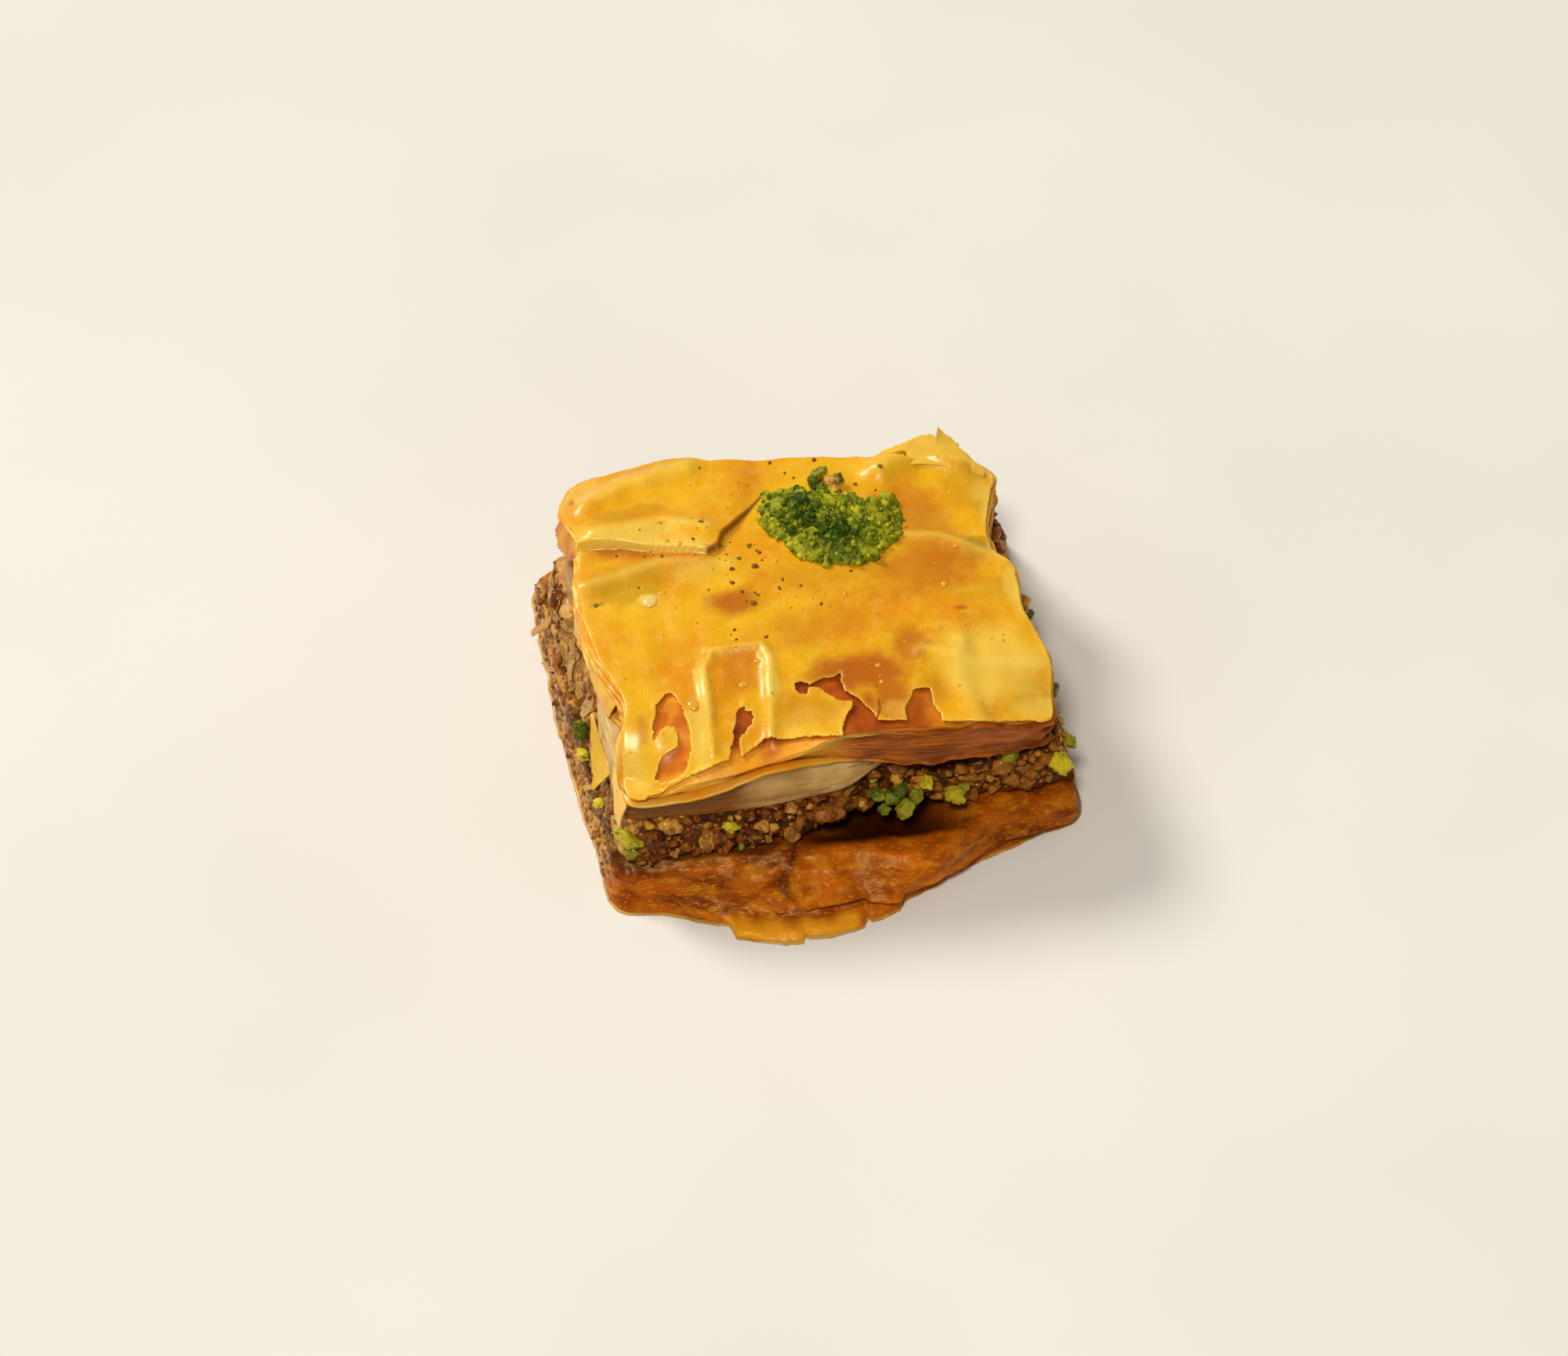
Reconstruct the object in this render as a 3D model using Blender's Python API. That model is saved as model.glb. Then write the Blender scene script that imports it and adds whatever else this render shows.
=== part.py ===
"""A square piece of baklava: a syrup-soaked filo base, chopped nuts, pale filo leaves, a golden crust and
a heap of ground pistachio. It stands on Z = 0, with +X along its front edge and +Y towards its back."""

import math
import random

import bmesh
import bpy
from mathutils import Vector, noise

# Sizes are in millimetres, and become metres where a mesh gets its shape.
MM = 0.001
CLEARANCE = 0.3
# The middle of the crust lies behind the middle of the base, whose leaves slide forward.
CRUST_MIDDLE = (0.05, 4.65)

# Heights above the face that the piece rests on.
BASE_TOP = 5.5
NUTS_TOP = 12.0
INNER_TOP = 14.0
CRUST_TOP = 21.4

# Plan outlines from the crust's middle: front left, front right, back right and back left corners, then
# swellings of each side as (place along it, half width, how far it stands out).
BASE_FOOT = {
    "corners": ((-27.4, -26.3), (31.2, -21.5), (29.0, 25.8), (-31.0, 24.6)),
    "front": ((-1.0, 19.5, 9.2),),
    "right": ((2.0, 9.0, -0.6),),
    "back": ((-8.0, 9.0, -0.7),),
    "left": ((-20.0, 5.0, -0.7), (2.0, 10.0, 0.5)),
}
BASE_LIP = {
    "corners": ((-26.0, -24.6), (30.4, -21.8), (28.3, 24.8), (-30.3, 21.8)),
    "front": ((-8.0, 14.0, 2.6), (10.0, 6.0, 5.0), (25.0, 6.0, -1.0)),
    "right": ((5.0, 9.0, -0.8),),
    "back": ((6.0, 8.0, -0.6),),
    "left": ((-18.0, 5.0, -0.4), (2.0, 10.0, 0.4)),
}
NUTS = {
    "corners": ((-25.5, -24.0), (29.6, -20.6), (27.2, 23.8), (-29.4, 20.8)),
    "front": ((5.0, 7.0, -2.2),),
    "right": (),
    "back": ((0.0, 12.0, -0.6),),
    "left": ((13.0, 7.0, 0.9),),
}
INNER = {
    "corners": ((-24.8, -22.3), (25.6, -19.8), (24.6, 21.4), (-25.2, 22.6)),
    "front": ((-2.0, 8.0, -0.8),),
    "right": ((4.0, 6.0, -1.2),),
    "back": (),
    "left": ((14.0, 6.0, 1.6), (-9.0, 5.0, 0.4)),
}
CRUST = {
    "corners": ((-24.3, -23.8), (27.0, -21.0), (25.6, 19.6), (-24.6, 24.6)),
    "front": ((-14.0, 5.0, 0.6), (3.0, 6.0, -0.8)),
    "right": ((17.5, 3.0, 0.9), (7.5, 5.0, -2.3), (-14.0, 5.0, 0.9)),
    "back": ((-13.0, 5.0, 1.4), (2.0, 12.0, 1.0), (18.5, 4.5, 3.0)),
    "left": ((19.0, 4.0, 1.8), (4.0, 10.0, 1.9), (-13.0, 4.5, -1.6)),
}

# The front of the base: its lowest leaves run on as a flap, and its top sinks to a trough behind the lip.
FLAP_ENDS = (-12.8, 7.0)
FLAP_REACH = 2.2
TROUGH_MIDDLE = (6.0, -19.0)
TROUGH_HALF = (9.5, 5.2)
TROUGH_DEPTH = 2.7

# Relief of the crust: welts as (points, half width, height), and the edge of a leaf that folds over.
WELTS = (
    (((-13.4, -20.0), (-13.0, -9.3), (-11.4, -6.6), (-5.6, -6.5), (-4.9, -9.3), (-6.4, -20.5)), 1.1, 0.7),
    (((-24.0, 19.0), (-18.5, 21.6), (-11.0, 22.4)), 1.6, 0.9),
    (((-23.5, 13.6), (-14.5, 14.0), (-10.0, 11.8)), 1.5, 0.9),
    (((-25.0, 6.0), (-16.0, 8.0), (-8.0, 6.4)), 1.7, 0.6),
    (((11.5, 8.6), (18.0, 7.2), (25.0, 2.6)), 1.2, 0.7),
    (((13.0, -10.0), (19.0, -13.0), (26.5, -13.5)), 1.6, 0.5),
    (((12.5, 19.0), (17.0, 21.8), (22.5, 19.5)), 2.2, 1.7),
    (((18.0, -22.0), (16.5, -15.0), (17.5, -9.0)), 1.5, 0.4),
)
FOLD = ((-27.0, 12.3), (-20.5, 11.8), (-9.9, 8.7), (-7.7, 11.2), (-1.8, 18.8))
FOLD_STEP = 1.1
FOLD_FADE = 7.0
# Tears in the crust's top leaves as ellipses: middle, half width, half depth.
TEARS = (
    ((-18.3, -16.2), (1.7, 4.6)),
    ((-10.0, -17.0), (0.8, 3.6)),
    ((1.2, -14.2), (4.2, 2.4)),
    ((10.0, -16.4), (3.6, 3.2)),
)
TEAR_DEPTH = 0.6

# The heap's uneven edge, as (direction in radians, half width, how far it stands out) of an ellipse.
HEAP_MIDDLE = (5.4, 11.8)
HEAP_HALF = (8.8, 7.4)
HEAP_BULGES = ((0.85, 0.38, -0.42), (2.0, 0.5, 0.12), (-2.2, 0.35, -0.22))
HEAP_HEIGHT = 1.9
HEAP_EDGE = 0.35
HEAP_GAP = 0.45

BAND_CELLS = 4
RIM_DEPTH = 6.0
SEED = 11


def smooth(low, high, value):
    """0 below low, 1 above high, with a soft rise between; low may be the larger."""
    t = min(1.0, max(0.0, (value - low) / (high - low)))
    return t * t * (3.0 - 2.0 * t)


def bell(distance, half_width):
    return math.exp(-((distance / half_width) ** 2))


def grain(x, y, z=0.0):
    """Smooth noise from -1 to 1, the same on every run."""
    return noise.noise(Vector((x, y, z)))


def along(points, x, y):
    """The distance from (x, y) to a line through points, and which side it is on: above 0 is the left."""
    best, side = 1e9, 1.0
    for (ax, ay), (bx, by) in zip(points, points[1:]):
        dx, dy = bx - ax, by - ay
        t = min(1.0, max(0.0, ((x - ax) * dx + (y - ay) * dy) / (dx * dx + dy * dy)))
        distance = math.hypot(x - ax - t * dx, y - ay - t * dy)
        if distance < best:
            best, side = distance, dx * (y - ay) - dy * (x - ax)
    return best, side


def plan(outline, u, v, ragged=None):
    """The plan point at (u, v) of an outline, u from left to right and v from front to back. ragged gives,
    for a side and a place along it, how much further out that side runs."""
    (ax, ay), (bx, by), (cx, cy), (dx, dy) = outline["corners"]
    x = (1 - v) * ((1 - u) * ax + u * bx) + v * ((1 - u) * dx + u * cx)
    y = (1 - v) * ((1 - u) * ay + u * by) + v * ((1 - u) * dy + u * cy)
    shares = {"front": (1 - v) ** 3, "back": v**3, "left": (1 - u) ** 3, "right": u**3}
    out = {}
    for side, share in shares.items():
        place = x if side in ("front", "back") else y
        reach = sum(size * bell(place - middle, half) for middle, half, size in outline[side])
        if ragged:
            reach += ragged(side, place)
        out[side] = reach * share
    return x + out["right"] - out["left"], y + out["back"] - out["front"]


def rim_share(x, y):
    """1 at the crust's sides, 0 from RIM_DEPTH inside them."""
    inside = min(x + 24.5, 26.5 - x, y + 22.5, 22.5 - y)
    return 1.0 - smooth(0.0, RIM_DEPTH, inside)


def base_top(x, y):
    across = math.exp(-(((x - TROUGH_MIDDLE[0]) / TROUGH_HALF[0]) ** 4))
    deep = math.exp(-(((y - TROUGH_MIDDLE[1]) / TROUGH_HALF[1]) ** 4))
    low_corner = 1.5 * bell(math.hypot(x - 30.0, y + 21.0), 10.0)
    return BASE_TOP - low_corner - TROUGH_DEPTH * across * deep


def nuts_bottom(x, y):
    low_corner = 1.5 * bell(math.hypot(x - 30.0, y + 21.0), 10.0)
    return BASE_TOP + CLEARANCE - low_corner


def inner_top(x, y):
    """The pale leaves bulge at the left and front, where the crust has lifted, and are pressed thin at the
    right."""
    left = 1.0 - smooth(0.0, 12.0, x)
    lifted = 1.9 * bell(x + 1.0, 9.0) * (1.0 - smooth(-22.0, -14.0, y))
    at_rim = -0.8 + 1.5 * left + lifted
    return INNER_TOP + at_rim * rim_share(x, y)


def crust_top(x, y):
    """The crust's upper face: a low dome with drooping corners, folds, welts and torn places."""
    z = CRUST_TOP - 1.0 * (x / 26.0) ** 2 - 0.7 * (y / 24.0) ** 2
    z -= 4.6 * bell(math.hypot(x + 26.0, y + 25.0), 6.5)
    z -= 1.6 * bell(math.hypot(x - 28.0, y + 22.0), 8.0)
    z -= 1.2 * bell(math.hypot(x + 26.0, y - 25.0), 6.0)
    z -= 1.3 * bell(math.hypot(x - 27.0, y - 21.0), 5.0)
    z -= 2.4 * smooth(-13.0, -25.0, y) * smooth(3.0, -9.0, x)
    clear_of_heap = smooth(0.9, 1.5, heap_radius(x, y))
    z += clear_of_heap * (0.35 * grain(x / 7.0, y / 5.0) + 0.15 * grain(x / 2.6, y / 2.6, 5.0))
    distance, side = along(FOLD, x, y)
    if side > 0:
        z += FOLD_STEP * math.exp(-distance / FOLD_FADE) * clear_of_heap
    for points, half, height in WELTS:
        z += height * bell(along(points, x, y)[0], half) * clear_of_heap
    for (tx, ty), (half_x, half_y) in TEARS:
        reach = math.hypot((x - tx) / half_x, (y - ty) / half_y) + 0.3 * grain(x / 1.5, y / 1.5, 9.0)
        z -= TEAR_DEPTH * smooth(1.15, 0.9, reach)
    return max(z, inner_top(x, y) + CLEARANCE + 0.9)


def heap_radius(x, y):
    """0 in the middle of the ground pistachio and 1 at its uneven edge."""
    dx, dy = x - HEAP_MIDDLE[0], y - HEAP_MIDDLE[1]
    angle = math.atan2(dy / HEAP_HALF[1], dx / HEAP_HALF[0])
    edge = 1.0 + 0.08 * grain(2.2 * math.cos(angle), 2.2 * math.sin(angle), 3.0)
    edge += sum(size * bell(angle - middle, half) for middle, half, size in HEAP_BULGES)
    return math.hypot(dx / HEAP_HALF[0], dy / HEAP_HALF[1]) / edge


def material(name, colour, roughness):
    made = bpy.data.materials.new(name)
    made.use_nodes = True
    shader = made.node_tree.nodes["Principled BSDF"]
    shader.inputs["Base Color"].default_value = (*colour, 1.0)
    shader.inputs["Roughness"].default_value = roughness
    shader.inputs["Metallic"].default_value = 0.0
    return made


def new_object(name, mesh, finish):
    made = bpy.data.objects.new(name, mesh)
    made.data.materials.append(finish)
    bpy.data.collections["baklava_piece"].objects.link(made)
    return made


def slab_mesh(name, cells, levels, open_top, open_bottom):
    """A unit block, X and Y from 0 to 1 and Z the level: a grid whose rim is extruded down through the
    levels and closed below. A face that isn't open keeps its cells only in a band along its rim."""
    bpy.ops.mesh.primitive_grid_add(x_subdivisions=cells[0], y_subdivisions=cells[1], size=1)
    grid = bpy.context.object
    bm = bmesh.new()
    bm.from_mesh(grid.data)
    bpy.data.objects.remove(grid)
    for vertex in bm.verts:
        vertex.co += Vector((0.5, 0.5, levels[0]))
    lower = bmesh.ops.duplicate(bm, geom=bm.verts[:] + bm.edges[:] + bm.faces[:])["geom"]
    lower_faces = [item for item in lower if isinstance(item, bmesh.types.BMFace)]
    lower_edges = [item for item in lower if isinstance(item, bmesh.types.BMEdge) and item.is_boundary]
    for item in lower:
        if isinstance(item, bmesh.types.BMVert):
            item.co.z = levels[-1]
    upper_faces = [face for face in bm.faces if face.calc_center_median().z > levels[-1]]
    rim = [edge for edge in bm.edges if edge.is_boundary and edge.verts[0].co.z > levels[-1]]
    for level in levels[1:-1]:
        grown = bmesh.ops.extrude_edge_only(bm, edges=rim)["geom"]
        rim = [item for item in grown if isinstance(item, bmesh.types.BMEdge) and item.is_boundary]
        for item in grown:
            if isinstance(item, bmesh.types.BMVert):
                item.co.z = level
    bmesh.ops.bridge_loops(bm, edges=rim + lower_edges)
    for faces, is_open in ((upper_faces, open_top), (lower_faces, open_bottom)):
        if not is_open:
            inner = [face for face in faces if face_depth(face, cells) > BAND_CELLS]
            bmesh.ops.dissolve_faces(bm, faces=inner, use_verts=True)
    bmesh.ops.recalc_face_normals(bm, faces=bm.faces)
    mesh = bpy.data.meshes.new(name)
    bm.to_mesh(mesh)
    bm.free()
    return mesh


def face_depth(face, cells):
    """How many cells in from the rim a cell of the unit grid lies."""
    middle = face.calc_center_median()
    across = min(middle.x, 1.0 - middle.x) * cells[0]
    deep = min(middle.y, 1.0 - middle.y) * cells[1]
    return min(across, deep) + 0.5


def leaf_levels(leaves):
    """Two rings a leaf, from the top ring at 1 to the bottom ring at 0, close together between leaves."""
    levels = []
    for leaf in reversed(range(leaves)):
        levels += [(leaf + 0.92) / leaves, (leaf + 0.08) / leaves]
    levels[0], levels[-1] = 1.0, 0.0
    return levels


def leaf_of(level, leaves):
    return min(leaves - 1, int(level * leaves))


def ragged_leaf(leaf, size, seed):
    """How far one leaf's edge runs out past the others, by side and place."""

    def reach(side, place):
        turn = 17.0 * ("front", "right", "back", "left").index(side)
        wide = grain(place / 6.0, turn + seed, leaf * 3.7)
        fine = grain(place / 2.2, turn + seed + 5.0, leaf * 5.1)
        return size * (0.8 * wide + 0.4 * fine)

    return reach


def shape(mesh, place):
    """Moves each vertex of a unit block to where place says, in millimetres from the crust's middle."""
    for vertex in mesh.vertices:
        x, y, z = place(*vertex.co)
        vertex.co = Vector((x + CRUST_MIDDLE[0], y + CRUST_MIDDLE[1], z)) * MM
    mesh.update()


def make_base():
    """The syrup-soaked leaves under the nuts. Each lower leaf has slid further forward."""
    leaves = 5
    mesh = slab_mesh("base_filo", (24, 22), leaf_levels(leaves), True, False)

    def place(u, v, level):
        leaf = leaf_of(level, leaves)
        rise = leaf / (leaves - 1)
        wander = ragged_leaf(leaf, 0.9, SEED)

        def ragged(side, place_along):
            flap = 0.0
            if side == "front" and leaf < 2:
                start, end = FLAP_ENDS
                inside = smooth(start - 1.0, start, place_along) * smooth(end + 0.8, end, place_along)
                flap = FLAP_REACH * inside
            return wander(side, place_along) + flap

        foot = plan(BASE_FOOT, u, v, ragged)
        lip = plan(BASE_LIP, u, v, ragged)
        x = foot[0] + (lip[0] - foot[0]) * rise
        y = foot[1] + (lip[1] - foot[1]) * rise
        return x, y, base_top(x, y) * level

    shape(mesh, place)
    new_object("base_filo", mesh, material("soaked_filo", (0.38, 0.13, 0.02), 0.25))


def nut_piece(chance, size, subdivisions=1):
    """One chopped piece: an icosphere with uneven radii, squashed and turned at random."""
    bpy.ops.mesh.primitive_ico_sphere_add(subdivisions=subdivisions, radius=size / 2.0)
    piece = bpy.context.object
    stretch = [chance.uniform(0.75, 1.25) for _ in range(3)]
    for vertex in piece.data.vertices:
        knock = chance.uniform(0.82, 1.12)
        vertex.co = Vector((vertex.co[axis] * stretch[axis] for axis in range(3))) * knock
    piece.rotation_euler = [chance.uniform(0.0, math.tau) for _ in range(3)]
    return piece


def fuse(body, pieces_name, pieces):
    """Joins loose pieces to a body with one union, then removes them."""
    together = bpy.data.collections.new(pieces_name)
    bpy.context.scene.collection.children.link(together)
    for piece in pieces:
        for holder in piece.users_collection:
            holder.objects.unlink(piece)
        together.objects.link(piece)
    union = body.modifiers.new("fused_pieces", "BOOLEAN")
    union.operation = "UNION"
    union.operand_type = "COLLECTION"
    union.collection = together
    union.solver = "MANIFOLD"
    bpy.context.view_layer.objects.active = body
    bpy.ops.object.modifier_apply(modifier=union.name)
    for piece in pieces:
        bpy.data.objects.remove(piece)
    bpy.data.collections.remove(together)


def wall_points(outline, spacing):
    """Points along an outline's four sides: the plan point and the direction that faces out."""
    found = []
    for side, outward in (("front", (0, -1)), ("right", (1, 0)), ("back", (0, 1)), ("left", (-1, 0))):
        count = round(50.0 / spacing)
        for step in range(count):
            t = (step + 0.5) / count
            u, v = {"front": (t, 0), "right": (1, t), "back": (t, 1), "left": (0, t)}[side]
            found.append((*plan(outline, u, v), outward))
    return found


def make_nuts():
    """Chopped walnut and pistachio bound with syrup: a rough core with the pieces at its sides fused on."""
    mesh = slab_mesh("nut_filling", (24, 22), [1.0, 0.66, 0.33, 0.0], False, False)

    def place(u, v, level):
        def ragged(side, place_along):
            turn = 13.0 * ("front", "right", "back", "left").index(side)
            return 0.8 * grain(place_along / 2.6, turn, level * 2.4) - 0.5

        x, y = plan(NUTS, u, v, ragged)
        low = nuts_bottom(x, y)
        return x, y, low + (NUTS_TOP - low) * level

    shape(mesh, place)
    body = new_object("nut_filling", mesh, material("chopped_nuts", (0.30, 0.15, 0.05), 0.5))
    chance = random.Random(SEED)
    pieces = []
    for row, height in enumerate((0.30, 0.70)):
        for x, y, (out_x, out_y) in wall_points(NUTS, 4.9):
            size = chance.uniform(1.9, 3.3)
            low = nuts_bottom(x, y)
            reach = chance.uniform(-0.9, -0.35)
            slide = (row - 0.5) * 2.0 + chance.uniform(-0.9, 0.9)
            z = low + (NUTS_TOP - low) * height + chance.uniform(-0.4, 0.4)
            piece = nut_piece(chance, size)
            room = max(abs(vertex.co.length) for vertex in piece.data.vertices)
            z = min(max(z, low + room), NUTS_TOP - room)
            across = x + out_x * reach + abs(out_y) * slide
            deep = y + out_y * reach + abs(out_x) * slide
            piece.location = Vector((across + CRUST_MIDDLE[0], deep + CRUST_MIDDLE[1], z)) * MM
            piece.scale = (MM, MM, MM)
            pieces.append(piece)
    for x, y, z, size in ((-24.4, -23.2, 8.3, 3.9), (28.4, -20.8, 9.6, 3.3)):
        piece = nut_piece(chance, size, 2)
        piece.location = Vector((x + CRUST_MIDDLE[0], y + CRUST_MIDDLE[1], z)) * MM
        piece.scale = (MM, MM, MM)
        pieces.append(piece)
    bpy.context.view_layer.update()
    fuse(body, "nut_pieces", pieces)


def make_inner():
    """Pale, soft leaves on the nuts, which show at the front and left below the lifted crust."""
    leaves = 2
    mesh = slab_mesh("inner_filo", (22, 20), leaf_levels(leaves), False, False)
    bottom = NUTS_TOP + CLEARANCE

    def place(u, v, level):
        x, y = plan(INNER, u, v, ragged_leaf(leaf_of(level, leaves), 0.5, SEED + 1))
        return x, y, bottom + (inner_top(x, y) - bottom) * level

    shape(mesh, place)
    new_object("inner_filo", mesh, material("pale_filo", (0.55, 0.40, 0.18), 0.45))


def make_crust():
    """The baked golden leaves: laminated sides, and a wrinkled and torn top."""
    leaves = 4
    mesh = slab_mesh("crust_filo", (30, 28), leaf_levels(leaves), True, False)

    def place(u, v, level):
        x, y = plan(CRUST, u, v, ragged_leaf(leaf_of(level, leaves), 0.7, SEED + 2))
        low = inner_top(x, y) + CLEARANCE
        return x, y, low + (crust_top(x, y) - low) * level

    shape(mesh, place)
    new_object("crust_filo", mesh, material("golden_filo", (0.78, 0.36, 0.03), 0.22))


def make_heap():
    """Ground pistachio: a low uneven mound that follows the crust, with some grains fused on its top."""
    around, rings = 36, 6
    bpy.ops.mesh.primitive_cylinder_add(vertices=around, radius=1.0, depth=1.0)
    disc = bpy.context.object
    bm = bmesh.new()
    bm.from_mesh(disc.data)
    bpy.data.objects.remove(disc)
    for ring in range(rings - 1, 0, -1):
        caps = [face for face in bm.faces if len(face.verts) == around]
        bmesh.ops.inset_individual(bm, faces=caps, thickness=1.0 / rings)
    caps = [face for face in bm.faces if len(face.verts) == around]
    bmesh.ops.poke(bm, faces=caps)
    mesh = bpy.data.meshes.new("ground_pistachio")
    bm.to_mesh(mesh)
    bm.free()

    def place(across, deep, level):
        radius = math.hypot(across, deep)
        angle = math.atan2(deep, across)
        direction = (HEAP_HALF[0] * math.cos(angle), HEAP_HALF[1] * math.sin(angle))
        far = heap_radius(HEAP_MIDDLE[0] + direction[0], HEAP_MIDDLE[1] + direction[1])
        x = HEAP_MIDDLE[0] + direction[0] * radius / far
        y = HEAP_MIDDLE[1] + direction[1] * radius / far
        z = crust_top(x, y) + HEAP_GAP
        if level > 0:
            lumps = 0.7 + 0.5 * grain(x / 1.7, y / 1.7, 2.0) + 0.3 * grain(x / 4.0, y / 4.0, 7.0)
            z += HEAP_EDGE + HEAP_HEIGHT * lumps * (1.0 - radius**3)
        return x, y, z

    shape(mesh, place)
    body = new_object("ground_pistachio", mesh, material("ground_pistachio", (0.18, 0.24, 0.02), 0.6))
    chance = random.Random(SEED + 3)
    pieces = []
    for _ in range(26):
        turn, radius = chance.uniform(0.0, math.tau), math.sqrt(chance.uniform(0.0, 0.7))
        direction = Vector((math.cos(turn), math.sin(turn), 0.0)) * radius
        x, y, z = place(direction.x, direction.y, 1.0)
        piece = nut_piece(chance, chance.uniform(1.0, 1.7))
        piece.location = Vector((x + CRUST_MIDDLE[0], y + CRUST_MIDDLE[1], z)) * MM
        piece.scale = (MM, MM, MM)
        pieces.append(piece)
    bpy.context.view_layer.update()
    fuse(body, "pistachio_grains", pieces)


def main():
    for old in list(bpy.data.objects):
        bpy.data.objects.remove(old)
    piece = bpy.data.collections.new("baklava_piece")
    bpy.context.scene.collection.children.link(piece)
    make_base()
    make_nuts()
    make_inner()
    make_crust()
    make_heap()


main()
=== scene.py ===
import math
import random

import bmesh
import bpy
import numpy as np
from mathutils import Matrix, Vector, noise


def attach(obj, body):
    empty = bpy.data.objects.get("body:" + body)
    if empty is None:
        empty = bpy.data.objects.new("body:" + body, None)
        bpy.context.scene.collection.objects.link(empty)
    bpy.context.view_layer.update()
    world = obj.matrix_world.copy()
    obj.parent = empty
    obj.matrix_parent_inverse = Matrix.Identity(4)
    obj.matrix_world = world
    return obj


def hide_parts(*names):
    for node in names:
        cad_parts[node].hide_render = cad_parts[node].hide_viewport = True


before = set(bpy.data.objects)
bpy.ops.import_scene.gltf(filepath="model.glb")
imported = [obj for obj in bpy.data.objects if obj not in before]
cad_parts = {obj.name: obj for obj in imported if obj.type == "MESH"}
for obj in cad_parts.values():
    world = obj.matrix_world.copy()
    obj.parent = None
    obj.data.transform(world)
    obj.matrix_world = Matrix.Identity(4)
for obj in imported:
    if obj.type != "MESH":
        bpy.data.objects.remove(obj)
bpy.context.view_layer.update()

# The room: a plain pale floor under soft daylight from behind on the left, seen from the front at 50
# degrees. The floor is one broad matt sheet, and the lamps are large so that the wet leaves show soft gloss.
MM = 0.001
VIEW_TARGET = Vector((-1.30, 10.01, 0.0)) * MM
VIEW_AZIMUTH = -8.5
VIEW_ELEVATION = 50.0
VIEW_DISTANCE = 550.0 * MM
VIEW_LENS = 101.97
VIEW_NEAREST = 10.0 * MM
FLOOR_SIZE = 3.0
ROOM_TINT = (1.0, 0.975, 0.94, 1.0)
ROOM_LIGHT = 0.21


def srgb(red, green, blue):
    """A colour given as it looks on a screen, 0 to 255, as a shader takes it."""
    parts = [part / 255.0 for part in (red, green, blue)]
    return (*[part / 12.92 if part <= 0.04045 else ((part + 0.055) / 1.055) ** 2.4 for part in parts], 1.0)


class Socket:
    """One socket of a node tree: Python's operators add Math nodes, and node() adds any other node."""

    def __init__(self, tree, source=None):
        self.tree = tree
        self.source = source

    def feed(self, target):
        self.tree.links.new(self.source, target)

    def node(self, kind, settings=None, inputs=None, output=0):
        made = self.tree.nodes.new(kind)
        for name, value in (settings or {}).items():
            setattr(made, name, value)
        for name, value in (inputs or {}).items():
            if isinstance(value, Socket):
                value.feed(made.inputs[name])
            else:
                made.inputs[name].default_value = value
        return Socket(self.tree, made.outputs[output])

    def math(self, operation, first, second):
        return self.node("ShaderNodeMath", {"operation": operation}, {0: first, 1: second})

    def __add__(self, other):
        return self.math("ADD", self, other)

    def __sub__(self, other):
        return self.math("SUBTRACT", self, other)

    def __mul__(self, other):
        return self.math("MULTIPLY", self, other)

    def __rsub__(self, other):
        return self.math("SUBTRACT", other, self)

    __radd__ = __add__
    __rmul__ = __mul__

    def between(self, low, high):
        """0 at low and 1 at high, with a soft rise between."""
        limits = {"Value": self, "From Min": low, "From Max": high}
        return self.node("ShaderNodeMapRange", {"interpolation_type": "SMOOTHSTEP"}, limits)

    def mix(self, low, high):
        """The colour low where this is 0, and high where it is 1."""
        return self.node("ShaderNodeMix", {"data_type": "RGBA"}, {0: self, 6: low, 7: high}, 2)

    def noise(self, size, detail=2.0, stretch=(1.0, 1.0, 1.0), shift=0.0):
        """Noise from 0 to 1 with lumps of about size millimetres, longer where stretch is above 1."""
        place = self.node("ShaderNodeTexCoord", output=3)
        scale = tuple(1.0 / part for part in stretch)
        mapped = {"Vector": place, "Location": (shift, shift, shift), "Scale": scale}
        place = self.node("ShaderNodeMapping", inputs=mapped)
        given = {"Vector": place, "Scale": 1.0 / (size * MM), "Detail": detail}
        return self.node("ShaderNodeTexNoise", inputs=given)

    def value(self, name):
        """The number that a mesh holds under this name at each point."""
        return self.node("ShaderNodeAttribute", {"attribute_name": name}, output=2)

    def bump(self, depth):
        """A relief of depth millimetres with this as its height."""
        return self.node("ShaderNodeBump", inputs={"Strength": 1.0, "Distance": depth * MM, "Height": self})


def new_finish(name, constants):
    """A material whose unchanging values are set, with its tree and its shader."""
    finish = bpy.data.materials.new(name)
    finish.use_nodes = True
    shader = finish.node_tree.nodes["Principled BSDF"]
    for socket, value in constants.items():
        shader.inputs[socket].default_value = value
    return finish, Socket(finish.node_tree), shader.inputs


def facing(name, data, azimuth, elevation, distance, target=Vector()):
    """Puts a lamp or the camera at this distance from target, which it faces. azimuth is degrees round to the
    right from the front, and elevation degrees up."""
    turn, rise = math.radians(azimuth), math.radians(elevation)
    away = Vector((math.sin(turn) * math.cos(rise), -math.cos(turn) * math.cos(rise), math.sin(rise)))
    holder = bpy.data.objects.new(name, data)
    holder.location = target + away * distance
    holder.rotation_euler = away.to_track_quat("Z", "Y").to_euler()
    bpy.context.scene.collection.objects.link(holder)
    return holder


def new_lamp(name, azimuth, elevation, distance, size, watts, colour):
    """A round lamp that faces the piece."""
    lamp = bpy.data.lights.new(name, "AREA")
    lamp.shape = "DISK"
    lamp.size = size
    lamp.energy = watts
    lamp.color = colour
    facing(name, lamp, azimuth, elevation, distance)


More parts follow.
